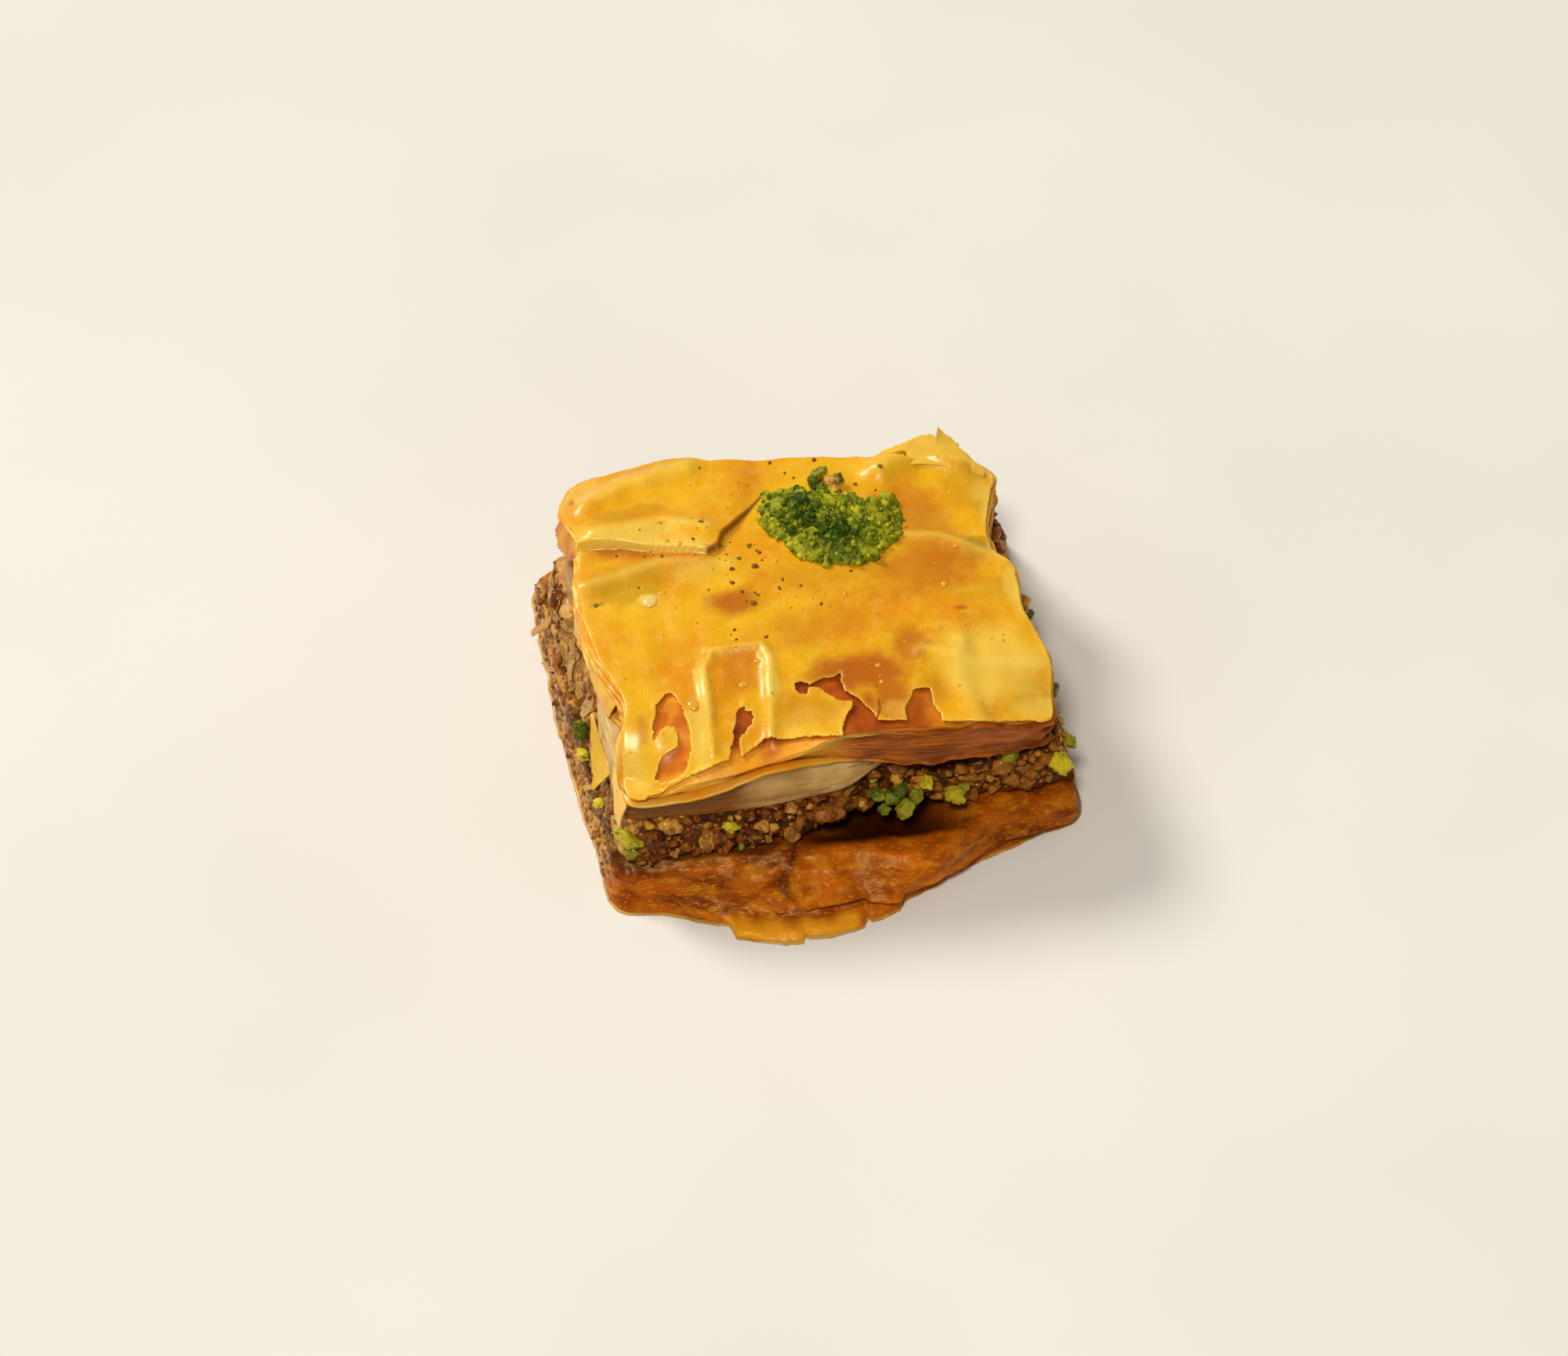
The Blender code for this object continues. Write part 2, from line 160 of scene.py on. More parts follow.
FLOOR_SHADE = srgb(233, 230, 221)
FLOOR_PALE = srgb(239, 236, 229)
floor_finish, nodes, inputs = new_finish("pale_floor", {"Roughness": 0.55, "Specular IOR Level": 0.3})
nodes.noise(90.0, 3.0).between(0.3, 0.7).mix(FLOOR_SHADE, FLOOR_PALE).feed(inputs["Base Color"])
bpy.ops.mesh.primitive_plane_add(size=FLOOR_SIZE)
floor = bpy.context.object
floor.name = "floor"
floor.data.materials.append(floor_finish)

world = bpy.data.worlds.new("soft_room")
world.use_nodes = True
background = world.node_tree.nodes["Background"].inputs
background["Color"].default_value = ROOM_TINT
background["Strength"].default_value = ROOM_LIGHT
bpy.context.scene.world = world
new_lamp("window", -138.0, 42.0, 3.0, 0.9, 56.0, (1.0, 0.965, 0.91))
new_lamp("room_light", -25.0, 62.0, 2.5, 0.5, 31.5, (1.0, 0.94, 0.83))

camera_data = bpy.data.cameras.new("camera")
camera_data.lens = VIEW_LENS
camera_data.clip_start = VIEW_NEAREST
camera = facing("camera", camera_data, VIEW_AZIMUTH, VIEW_ELEVATION, VIEW_DISTANCE, VIEW_TARGET)
bpy.context.scene.camera = camera
bpy.context.scene.view_settings.view_transform = "Standard"

# The base: some ten filo leaves soaked through with syrup and pressed to one glossy amber-brown mass. Each
# lower leaf has slid further forward, and behind the front lip the top sinks to a wet trough, painted near
# black as shade.
SEED = 11
SIDES = ("front", "right", "back", "left")
CRUST_MIDDLE = np.array((0.05, 4.65, 0.0))
BASE_HEIGHT = 5.5
BASE_LEAVES = 10
BASE_AROUND = 860
BASE_FOOT = {
    "corners": ((-27.4, -26.3), (31.2, -21.5), (29.0, 25.8), (-31.0, 24.6)),
    "front": ((-1.0, 19.5, 9.2),),
    "right": ((2.0, 9.0, -0.6),),
    "back": ((-8.0, 9.0, -0.7),),
    "left": ((-20.0, 5.0, -0.7), (2.0, 10.0, 0.5)),
}
BASE_LIP = {
    "corners": ((-26.0, -24.6), (30.4, -21.8), (28.3, 24.8), (-30.3, 21.8)),
    "front": ((-8.0, 14.0, 2.6), (10.0, 6.0, 5.0), (25.0, 6.0, -1.0)),
    "right": ((5.0, 9.0, -0.8),),
    "back": ((6.0, 8.0, -0.6),),
    "left": ((-18.0, 5.0, -0.4), (2.0, 10.0, 0.4)),
}
LOW_FLAPS = ((-12.8, -5.2, 2.1, 0.11), (-4.4, 2.4, 1.3, 0.11), (3.4, 7.0, 0.9, 0.4))
TROUGH_MIDDLE = (6.0, -19.0)
TROUGH_HALF = (9.5, 5.2)
TROUGH_DEPTH = 2.7
WET_HALF = 10.5
# The upper leaves of the front start at a round fold on the left, and lie over the lower ones.
LOBE_START = -6.4
LOBE_REACH = 1.6
LEAF_PROFILE = ((-0.22, 0.97), (-0.03, 0.78), (0.0, 0.48), (-0.06, 0.2), (-0.2, 0.03))
FUSED_PROFILE = ((-0.01, 0.95), (0.0, 0.7), (0.0, 0.4), (-0.02, 0.1))


def smooth(low, high, value):
    """0 below low, 1 above high, with a soft rise between; low may be the larger."""
    t = np.clip((value - low) / (high - low), 0.0, 1.0)
    return t * t * (3.0 - 2.0 * t)


def bell(distance, half_width):
    """1 at no distance, and falling off smoothly over half_width."""
    return np.exp(-((distance / half_width) ** 2))


def grain(x, y, z=0.0):
    """Smooth noise from -1 to 1, the same on every run."""
    x, y, z = np.broadcast_arrays(x, y, z)
    found = [noise.noise(point) for point in zip(x.ravel().tolist(), y.ravel().tolist(), z.ravel().tolist())]
    return np.array(found).reshape(x.shape)


def plan(outline, u, v, ragged=None):
    """Plan points at (u, v) of an outline, u from left to right and v from front to back. ragged gives, for
    a side and places along it, how much further out that side runs."""
    (ax, ay), (bx, by), (cx, cy), (dx, dy) = outline["corners"]
    x = (1 - v) * ((1 - u) * ax + u * bx) + v * ((1 - u) * dx + u * cx)
    y = (1 - v) * ((1 - u) * ay + u * by) + v * ((1 - u) * dy + u * cy)
    shares = {"front": (1 - v) ** 3, "back": v**3, "left": (1 - u) ** 3, "right": u**3}
    out = {}
    for side, share in shares.items():
        place = x if side in ("front", "back") else y
        reach = sum(size * bell(place - middle, half) for middle, half, size in outline[side])
        if ragged:
            reach = reach + ragged(side, place)
        out[side] = reach * share
    return x + out["right"] - out["left"], y + out["back"] - out["front"]


def rounded(u, v, power=22.0):
    """Moves points of the unit square so that its corners are round."""
    a, b = np.abs(2.0 * u - 1.0), np.abs(2.0 * v - 1.0)
    far = np.maximum(np.maximum(a, b), 1e-9)
    scale = ((a / far) ** power + (b / far) ** power) ** (-1.0 / power)
    return 0.5 + (u - 0.5) * scale, 0.5 + (v - 0.5) * scale


def rim_of_square(count):
    """count points evenly spaced round the unit square, with round corners."""
    turns = np.linspace(0.0, 4.0, 8001)
    place = turns % 1.0
    side = np.minimum(turns.astype(int), 3)
    u = np.choose(side, (place, np.ones_like(place), 1 - place, np.zeros_like(place)))
    v = np.choose(side, (np.zeros_like(place), place, np.ones_like(place), 1 - place))
    u[-1], v[-1] = 0.0, 0.0
    u, v = rounded(u, v)
    length = np.concatenate(([0.0], np.cumsum(np.hypot(np.diff(u), np.diff(v)))))
    even = np.linspace(0.0, length[-1], count, endpoint=False)
    return np.interp(even, length, u), np.interp(even, length, v)


def ragged_leaf(leaf, size, seed):
    """How far one leaf's edge runs out past the others, by side and place."""

    def reach(side, place):
        turn = 17.0 * SIDES.index(side)
        wide = grain(place / 6.0, turn + seed, leaf * 3.7)
        middle = grain(place / 2.2, turn + seed + 5.0, leaf * 5.1)
        fine = grain(place / 0.7, turn + seed + 9.0, leaf * 7.3)
        return size * (0.8 * wide + 0.4 * middle + 0.16 * fine)

    return reach


def closed_rings(rings, capped):
    """Faces over rings of equally many points: round each ring and from ring to ring, then either two end
    caps on a middle point each, or a strip from the last ring back to the first."""
    count, around = rings.shape[:2]
    index = np.arange(count * around).reshape(count, around)
    lower = index if not capped else index[:-1]
    upper = np.roll(index, -1, axis=0) if not capped else index[1:]
    quads = np.stack([lower, upper, np.roll(upper, -1, axis=1), np.roll(lower, -1, axis=1)], axis=-1)
    faces = quads.reshape(-1, 4).tolist()
    points = rings.reshape(-1, 3)
    if capped:
        points = np.concatenate([points, rings[:1].mean(axis=1), rings[-1:].mean(axis=1)])
        first, last = len(points) - 2, len(points) - 1
        for a, b in zip(index[0], np.roll(index[0], -1)):
            faces.append([first, int(a), int(b)])
        for a, b in zip(index[-1], np.roll(index[-1], -1)):
            faces.append([last, int(b), int(a)])
    return points, faces


def new_piece(name, points, faces, finish, values=None, closed=True):
    """A piece from points in millimetres about the crust's middle, with its faces turned outwards where it is
    closed. values are numbers for each point."""
    mesh = bpy.data.meshes.new(name)
    mesh.from_pydata(((points + CRUST_MIDDLE) * MM).tolist(), [], faces)
    for title, numbers in (values or {}).items():
        layer = mesh.attributes.new(title, "FLOAT", "POINT")
        layer.data.foreach_set("value", np.asarray(numbers, float).ravel())
    if closed:
        bm = bmesh.new()
        bm.from_mesh(mesh)
        if bm.calc_volume(signed=True) < 0:
            bmesh.ops.reverse_faces(bm, faces=bm.faces)
        bm.to_mesh(mesh)
        bm.free()
    mesh.shade_smooth()
    mesh.materials.append(finish)
    piece = bpy.data.objects.new(name, mesh)
    bpy.context.scene.collection.objects.link(piece)
    return piece


def stack_rings(around, leaves, depths, place, profile=LEAF_PROFILE):
    """The rings of a closed stack: in from the rim over its top at these depths (1 is the rim), down over
    the edge of each leaf, and a little way in below. place gives points for (u, v, leaf, level, pull)."""
    u, v = rim_of_square(around)
    rings = []
    for depth in depths:
        rings.append(place(0.5 + (u - 0.5) * depth, 0.5 + (v - 0.5) * depth, leaves - 1, 1.0, 0.0))
    for leaf in reversed(range(leaves)):
        for pull, share in profile:
            rings.append(place(u, v, leaf, (leaf + share) / leaves, pull))
    rings.append(place(u, v, 0, 0.0, -0.3))
    rings.append(place(0.5 + (u - 0.5) * 0.9, 0.5 + (v - 0.5) * 0.9, 0, 0.0, 0.0))
    return np.array(rings)


def low_corner(x, y):
    """How far the base has sunk at its front right corner."""
    return 1.5 * bell(np.hypot(x - 30.0, y + 21.0), 10.0)


def base_top(x, y):
    """The base's upper face, with fine wrinkles and the trough behind the front lip."""
    across = np.exp(-(((x - TROUGH_MIDDLE[0]) / TROUGH_HALF[0]) ** 4))
    deep = np.exp(-(((y - TROUGH_MIDDLE[1]) / TROUGH_HALF[1]) ** 4))
    wrinkles = 0.22 * grain(x / 4.0, y / 1.6, 3.0) + 0.1 * grain(x / 1.1, y / 1.1, 4.0)
    return BASE_HEIGHT - low_corner(x, y) - TROUGH_DEPTH * across * deep + wrinkles


def lobe_start(level):
    """Where the upper leaves' round fold begins at this share of the base's height."""
    return LOBE_START + 2.2 * (level - 0.62) ** 2 / 0.14


def base_place(u, v, leaf, level, pull):
    """Points of the base at this share of its height, with its low flaps, round fold and melted folds."""
    wander = ragged_leaf(level * 0.45, 0.7, SEED)

    def ragged(side, place_along):
        more = 0.0
        if side == "front":
            for start, end, reach, height in LOW_FLAPS:
                inside = smooth(start - 0.7, start, place_along) * smooth(end + 0.6, end, place_along)
                more = more + reach * inside * smooth(1.6 * height, height, level)
            start = lobe_start(level)
            more = more + LOBE_REACH * smooth(start, start + 0.9, place_along) * smooth(0.3, 0.38, level)
            more = more - 0.9 * smooth(0.72, 1.0, level) ** 2
        bends = grain(place_along / 4.2 + 1.1 * level, level * 1.7 + place_along / 11.0, 61.0)
        folds = 0.5 - 1.6 * np.abs(bends)
        melted = 0.34 * folds + 0.3 * grain(place_along / 3.2 + 2.0 * level, level * 5.0, 62.0)
        melted = melted + 0.12 * grain(place_along / 1.1 - 2.0 * level, level * 9.0, 63.0)
        return wander(side, place_along) + more + melted * smooth(0.0, 0.12, level) + pull

    foot = plan(BASE_FOOT, u, v, ragged)
    lip = plan(BASE_LIP, u, v, ragged)
    x = foot[0] + (lip[0] - foot[0]) * level
    y = foot[1] + (lip[1] - foot[1]) * level
    z = base_top(x, y) * level
    z = z + 0.25 * grain(x / 2.4, y / 2.4, level * 2.0) * smooth(0.0, 0.3, level)
    return np.stack([x, y, z], axis=-1)


SOAKED_DARK = srgb(122, 46, 3)
SOAKED_AMBER = srgb(206, 104, 8)
SOAKED_GOLD = srgb(240, 158, 26)
# Painted shadow: near black, with the dark red of wet syrup.
WET_SHADOW_BLACK = srgb(38, 7, 2)
STAIN_DARK = srgb(112, 64, 16)
STAIN_LIGHT = srgb(206, 156, 74)
soaked_finish, nodes, inputs = new_finish("soaked_leaves", {
    "Roughness": 0.34, "Specular IOR Level": 0.32, "Specular Tint": (1.0, 0.66, 0.28, 1.0),
    "Subsurface Weight": 0.15, "Subsurface Radius": (1.0, 0.55, 0.15), "Subsurface Scale": 0.9 * MM,
})
mottle = nodes.noise(2.6, 4.0, (1.9, 1.4, 0.8)).between(0.36, 0.64)
streaks = nodes.noise(1.5, 3.0, (2.2, 1.6, 0.7)).between(0.48, 0.7)
flecks = nodes.noise(0.3, 2.0, (2.4, 1.4, 0.8), 0.3).between(0.56, 0.66)
colour = (mottle * 0.65 + nodes.value("lobe") * 0.35).mix(SOAKED_DARK, SOAKED_AMBER)
colour = (streaks * 0.35 + flecks * 0.35).mix(colour, SOAKED_GOLD)
colour = nodes.value("thin").mix(colour, SOAKED_GOLD)
blotches = nodes.noise(1.3, 4.0, (1.0, 1.0, 1.6), 0.2).between(0.4, 0.62)
colour = (nodes.value("nutty") * 0.88).mix(colour, blotches.mix(STAIN_DARK, STAIN_LIGHT))
nodes.value("deep").mix(colour, WET_SHADOW_BLACK).feed(inputs["Base Color"])
relief = nodes.noise(1.5, 3.0, (2.0, 1.5, 0.8)) * 0.65 + nodes.noise(0.35, 2.0, (2.0, 1.2, 0.9)) * 0.35
relief.bump(0.19).feed(inputs["Normal"])

rings = stack_rings(BASE_AROUND, BASE_LEAVES, np.linspace(0.55, 0.99, 46), base_place, FUSED_PROFILE)
points, faces = closed_rings(rings, True)
points[:, 2] = np.maximum(points[:, 2], 0.0)
x, y, z = points.T
# The deep value is painted shade, near black with the dark red of wet syrup: in the trough behind the lip,
# under the nuts on the left, in the crease where the round fold begins, and faintly under the nuts on the
# right.
trough = np.exp(-(((x - TROUGH_MIDDLE[0]) / WET_HALF) ** 4)) * smooth(-26.6, -24.6, y)
trough = trough * smooth(-6.0, -12.0, y) * smooth(0.9, 2.2, z)
under_nuts = smooth(-26.6, -24.8, y) * smooth(3.6, 5.0, z) * (y < 0) * smooth(-5.0, -8.0, x)
deep = np.clip(0.95 * trough + 0.7 * under_nuts, 0.0, 0.95)
thin = smooth(0.95, 0.7, z) * smooth(-27.0, -28.0, y) * smooth(-14.5, -13.0, x) * smooth(2.6, 1.2, x)
level = np.clip(z / BASE_HEIGHT, 0.0, 1.0)
start = lobe_start(level)
lobe = smooth(start - 0.3, start + 0.6, x) * smooth(0.27, 0.33, level) + 0.3 * smooth(0.27, 0.2, level)
lobe = np.clip(lobe * smooth(24.0, 12.0, x) + 0.25 * grain(x / 3.0, y / 3.0, z / 2.0), 0.0, 1.0)
crevice = bell(x - start + 0.3, 0.55) * smooth(0.3, 0.5, level) * (y < -20.0) * smooth(-22.0, -24.0, y)
deep = np.maximum(deep, 0.6 * crevice)
deep = np.maximum(deep, 0.14 * smooth(9.0, 16.0, x) * smooth(-14.0, -18.0, y))
from_left = x + 26.4 + 0.085 * (y + 25.0)
nutty = smooth(2.2, 0.8, from_left) * smooth(0.0, 0.4, z) * smooth(-25.0, -21.5, y)
crumbly = nutty * smooth(0.8, 1.1, z)
base = new_piece("soaked_base", points, faces, soaked_finish, {
    "deep": deep, "thin": thin, "nutty": nutty, "lobe": lobe})
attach(base, "root")
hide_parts("base_filo")

# The syrup that has seeped out: a thin clear amber rim where the lowest leaf meets the surface below. It
# stands a little way out in shallow pools and holds on to the leaf's foot.
SYRUP_REACH = 0.7
SYRUP_HEIGHT = 0.28
SYRUP_AROUND = 700
SYRUP_LIGHT = srgb(224, 166, 78)
SYRUP_DEEP = srgb(204, 134, 44)
syrup_finish, nodes, inputs = new_finish("clear_syrup", {
    "Roughness": 0.3, "Specular IOR Level": 0.25, "Subsurface Weight": 0.4,
    "Subsurface Radius": (1.0, 0.8, 0.5), "Subsurface Scale": 1.5 * MM,
})
nodes.noise(4.0).between(0.35, 0.65).mix(SYRUP_LIGHT, SYRUP_DEEP).feed(inputs["Base Color"])
u, v = rim_of_square(SYRUP_AROUND)


def syrup_ring(out, height):
    """One ring of the rim, out millimetres from the base's foot, further where the syrup has pooled."""

    def seeped(side, place_along):
        pool = 0.5 + 0.5 * grain(place_along / 7.0, 3.0 * SIDES.index(side), 8.0)
        return out * (0.35 + 0.65 * pool) - 0.25

    ring = base_place(u, v, 0, 0.0, 0.0)
    ring[:, :2] += np.stack(plan(BASE_FOOT, u, v, seeped), axis=-1) - np.stack(plan(BASE_FOOT, u, v), axis=-1)
    ring[:, 2] = height * (0.6 + 0.4 * grain(ring[:, 0] / 3.0, ring[:, 1] / 3.0, 2.0))
    return ring


section = []
for turn in np.linspace(0.0, math.pi / 2.0, 7):
    section.append(syrup_ring(SYRUP_REACH * math.cos(turn), SYRUP_HEIGHT * math.sin(turn)))
upper = section[-1].copy()
upper[:, :2] = base_place(u, v, 0, 0.0, -1.2)[:, :2]
lower = upper.copy()
lower[:, 2] = 0.0
points, faces = closed_rings(np.array(section + [upper, lower]), False)
syrup = new_piece("syrup_rim", points, faces, syrup_finish)
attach(syrup, "root")

# The filling: walnuts and pistachios chopped to between one and four millimetres and stuck together with
# syrup. A rough dark core carries the loose-looking pieces, each kind scattered over its sides.
CLEARANCE = 0.3
NUTS_TOP = 12.0
NUTS_LEAVES = 4
NUTS_AROUND = 520
NUTS = {
    "corners": ((-25.5, -24.0), (29.6, -20.6), (27.2, 23.8), (-29.4, 20.8)),
    "front": ((5.0, 7.0, -2.2),),
    "right": (),
    "back": ((0.0, 12.0, -0.6),),
    "left": ((13.0, 7.0, 0.9),),
}
CORE_INSET = 0.8
LEFT_SLOPE = 1.6
FRONT_SPILL = 2.3
NUT_PROFILE = ((-0.15, 0.9), (0.0, 0.6), (0.0, 0.3))


def nuts_bottom(x, y):
    """The nuts' underside, just clear of the base."""
    return BASE_HEIGHT + CLEARANCE - low_corner(x, y)


def sunken_front(x, y):
    """How far the nuts have sunk at the front on the left, where the pale leaves bulge out above them."""
    left = 1.1 * smooth(6.0, -3.0, x)
    return (left + 1.7 * bell(x - 14.5, 5.5)) * smooth(-12.0, -22.0, y)


def nuts_place(u, v, leaf, level, pull):
    """Points of the nuts' core, which slopes out on the left and whose foot spills forward at the front."""

    def ragged(side, place_along):
        turn = 13.0 * SIDES.index(side)
        fine = 0.4 * grain(place_along / 0.9, turn, level * 7.0)
        rough = 0.7 * grain(place_along / 2.6, turn, level * 2.4) + fine
        slope = 0.0
        if side == "left":
            fine = 0.3 * grain(place_along / 1.2, turn, level * 3.0)
            rough = 1.3 * grain(place_along / 3.6, turn, level * 1.9) + fine
            slope = LEFT_SLOPE * level - 0.5
        if side == "front":
            slope = -FRONT_SPILL * (1.0 - level) * smooth(14.0, 0.0, place_along)
        return rough - CORE_INSET - slope + pull

    x, y = plan(NUTS, u, v, ragged)
    low = nuts_bottom(x, y)
    lumps = 0.3 * grain(x / 1.6, y / 1.6, 6.0 + level) * (0.05 < level)
    top = NUTS_TOP - 0.4 - sunken_front(x, y)
    return np.stack([x, y, low + (top - low) * level + lumps], axis=-1)


def lump_shape(name, chance, subdivisions, uneven, flat_sides=4):
    """One chopped piece, one unit across: an uneven ball with flat cuts, squashed at random."""
    bm = bmesh.new()
    bmesh.ops.create_icosphere(bm, subdivisions=subdivisions, radius=0.5)
    stretch = Vector([chance.uniform(0.7, 1.25) for _ in range(3)])
    shift = Vector([chance.uniform(0.0, 50.0) for _ in range(3)])
    cuts = []
    for _ in range(flat_sides):
        facing_cut = Vector([chance.gauss(0.0, 1.0) for _ in range(3)]).normalized()
        cuts.append((facing_cut, chance.uniform(0.26, 0.42)))
    for vertex in bm.verts:
        vertex.co *= 1.0 + uneven * noise.noise(vertex.co * 2.6 + shift)
        for facing_cut, depth in cuts:
            vertex.co -= facing_cut * max(0.0, vertex.co.dot(facing_cut) - depth)
        vertex.co *= 1.0 + 0.6 * uneven * noise.noise(vertex.co * 6.5 + shift)
        vertex.co *= 1.0 + 0.16 * uneven * noise.noise(vertex.co * 15.0 + shift)
        vertex.co *= stretch
    mesh = bpy.data.meshes.new(name)
    bm.to_mesh(mesh)
    bm.free()
    mesh.shade_smooth()
    return bpy.data.objects.new(name, mesh)


def scatter_tree():
    """Pieces of several shapes, at random sizes and turns, over the faces of a mesh."""
    tree = bpy.data.node_groups.new("scattered_pieces", "GeometryNodeTree")
    tree.interface.new_socket("Geometry", in_out="INPUT", socket_type="NodeSocketGeometry")
    for title, kind in (("Shapes", "Collection"), ("Finish", "Material"), ("Spacing", "Float"),
                        ("Smallest", "Float"), ("Largest", "Float"), ("Sink", "Float"), ("Seed", "Int")):
        tree.interface.new_socket(title, in_out="INPUT", socket_type="NodeSocket" + kind)
    tree.interface.new_socket("Geometry", in_out="OUTPUT", socket_type="NodeSocketGeometry")
    start = tree.nodes.new("NodeGroupInput")
    end = tree.nodes.new("NodeGroupOutput")
    given = {socket.name: Socket(tree, socket) for socket in start.outputs if socket.name}
    root = Socket(tree)
    amount = root.node("GeometryNodeInputNamedAttribute", {"data_type": "FLOAT"}, {"Name": "amount"})
    spread = {"Mesh": given["Geometry"], "Distance Min": given["Spacing"], "Density Max": 4.0e6,
              "Density Factor": amount, "Seed": given["Seed"]}
    scattered = {"distribute_method": "POISSON"}
    dots = root.node("GeometryNodeDistributePointsOnFaces", scattered, spread)
    outward = Socket(tree, dots.source.node.outputs["Normal"])
    chance = {2: 0.0, 3: 1.0, "Seed": given["Seed"]}
    draw = root.node("FunctionNodeRandomValue", {"data_type": "FLOAT"}, chance, 1)
    size = given["Smallest"] + (given["Largest"] - given["Smallest"]) * draw * draw
    depth = size * given["Sink"]
    shift = root.node("ShaderNodeVectorMath", {"operation": "SCALE"}, {0: outward, "Scale": depth})
    dots = root.node("GeometryNodeSetPosition", inputs={"Geometry": dots, "Offset": shift})
    shapes = {"Collection": given["Shapes"], "Separate Children": True, "Reset Children": True}
    shapes = root.node("GeometryNodeCollectionInfo", inputs=shapes)
    laid = root.node("FunctionNodeAlignRotationToVector", {"axis": "Z"}, {"Vector": outward})
    turn = {0: (-math.pi,) * 3, 1: (math.pi,) * 3, "Seed": given["Seed"] + 1}
    turn = root.node("FunctionNodeRandomValue", {"data_type": "FLOAT_VECTOR"}, turn)
    turn = root.node("FunctionNodeEulerToRotation", inputs={"Euler": turn})
    turned = {"Rotation": laid, "Rotate By": turn}
    turn = root.node("FunctionNodeRotateRotation", {"rotation_space": "LOCAL"}, turned)
    pieces = {"Points": dots, "Instance": shapes, "Pick Instance": True, "Rotation": turn, "Scale": size}
    pieces = root.node("GeometryNodeInstanceOnPoints", inputs=pieces)
    tone = {2: 0.0, 3: 1.0, "Seed": given["Seed"] + 2}
    tone = root.node("FunctionNodeRandomValue", {"data_type": "FLOAT"}, tone, 1)
    named = {"Geometry": pieces, "Name": "tone", "Value": tone}
    pieces = root.node("GeometryNodeStoreNamedAttribute", {"data_type": "FLOAT", "domain": "INSTANCE"}, named)
    pieces = root.node("GeometryNodeRealizeInstances", inputs={"Geometry": pieces})
    pieces = root.node("GeometryNodeSetMaterial", inputs={"Geometry": pieces, "Material": given["Finish"]})
    pieces.feed(end.inputs["Geometry"])
    return tree


scatter = scatter_tree()


def applied(piece, modifier):
    """Makes the piece's own mesh what its modifier shows, and takes the modifier off."""
    bpy.context.view_layer.update()
    seen = piece.evaluated_get(bpy.context.evaluated_depsgraph_get())
    shown = bpy.data.meshes.new_from_object(seen)
    piece.modifiers.remove(modifier)
    piece.data = shown
    shown.name = piece.name


def scattered_piece(name, bed, amount, finish, shapes, spacing, sizes, sink, seed):
    """A mesh of pieces scattered over a bed where amount, a number at each of its points, is above 0.
    spacing and the smallest and largest of sizes are in millimetres, and sink is how far a piece stands out
    of the bed, as a part of its size."""
    host = bpy.data.objects.new(name, bed.data.copy())
    layer = host.data.attributes.new("amount", "FLOAT", "POINT")
    layer.data.foreach_set("value", np.asarray(amount, float).ravel())
    bpy.context.scene.collection.objects.link(host)
    kinds = bpy.data.collections.new(name + "_shapes")
    for shape in shapes:
        kinds.objects.link(shape)
    given = {"Shapes": kinds, "Finish": finish, "Spacing": spacing * MM, "Smallest": sizes[0] * MM,
             "Largest": sizes[1] * MM, "Sink": sink, "Seed": seed}
    modifier = host.modifiers.new("scatter", "NODES")
    modifier.node_group = scatter
    for item in scatter.interface.items_tree:
        if item.in_out == "INPUT" and item.name in given:
            modifier[item.identifier] = given[item.name]
    applied(host, modifier)
    bpy.data.collections.remove(kinds)
    return host


chance = random.Random(SEED)
pebbles = [lump_shape(f"pebble_{i}", chance, 2, 0.5) for i in range(7)]
crumbs = [lump_shape(f"crumb_{i}", chance, 1, 0.5) for i in range(6)]

WALNUT_SKIN = srgb(116, 56, 8)
WALNUT_FLESH = srgb(184, 122, 32)
WALNUT_CREAM = srgb(222, 166, 66)
NUT_SHADE = srgb(60, 25, 3)
PASTE_DARK = srgb(128, 76, 20)
PASTE_LIGHT = srgb(210, 158, 82)
PASTE_FIBRE = srgb(228, 188, 120)
core_finish, nodes, inputs = new_finish("nut_crumb", {
    "Roughness": 0.45, "Coat Weight": 0.1, "Coat Roughness": 0.08, "Specular IOR Level": 0.15,
    "Subsurface Weight": 0.3, "Subsurface Radius": (1.0, 0.55, 0.2), "Subsurface Scale": 0.8 * MM,
})
colour = nodes.noise(1.6, 4.0).between(0.4, 0.66).mix(NUT_SHADE, WALNUT_SKIN)
colour = nodes.noise(0.6, 3.0, shift=0.2).between(0.6, 0.72).mix(colour, WALNUT_FLESH)
paste = nodes.noise(2.4, 4.0, (1.0, 1.0, 1.8), 0.5).between(0.34, 0.58).mix(PASTE_DARK, PASTE_LIGHT)
paste = (nodes.noise(0.6, 3.0, (1.0, 0.8, 3.5)).between(0.5, 0.68) * 0.55).mix(paste, PASTE_FIBRE)
colour = (nodes.value("mushy") * 0.05).mix(colour, WALNUT_FLESH)
nodes.value("pasty").mix(colour, paste).feed(inputs["Base Color"])
nodes.noise(0.8, 4.0).bump(0.4).feed(inputs["Normal"])

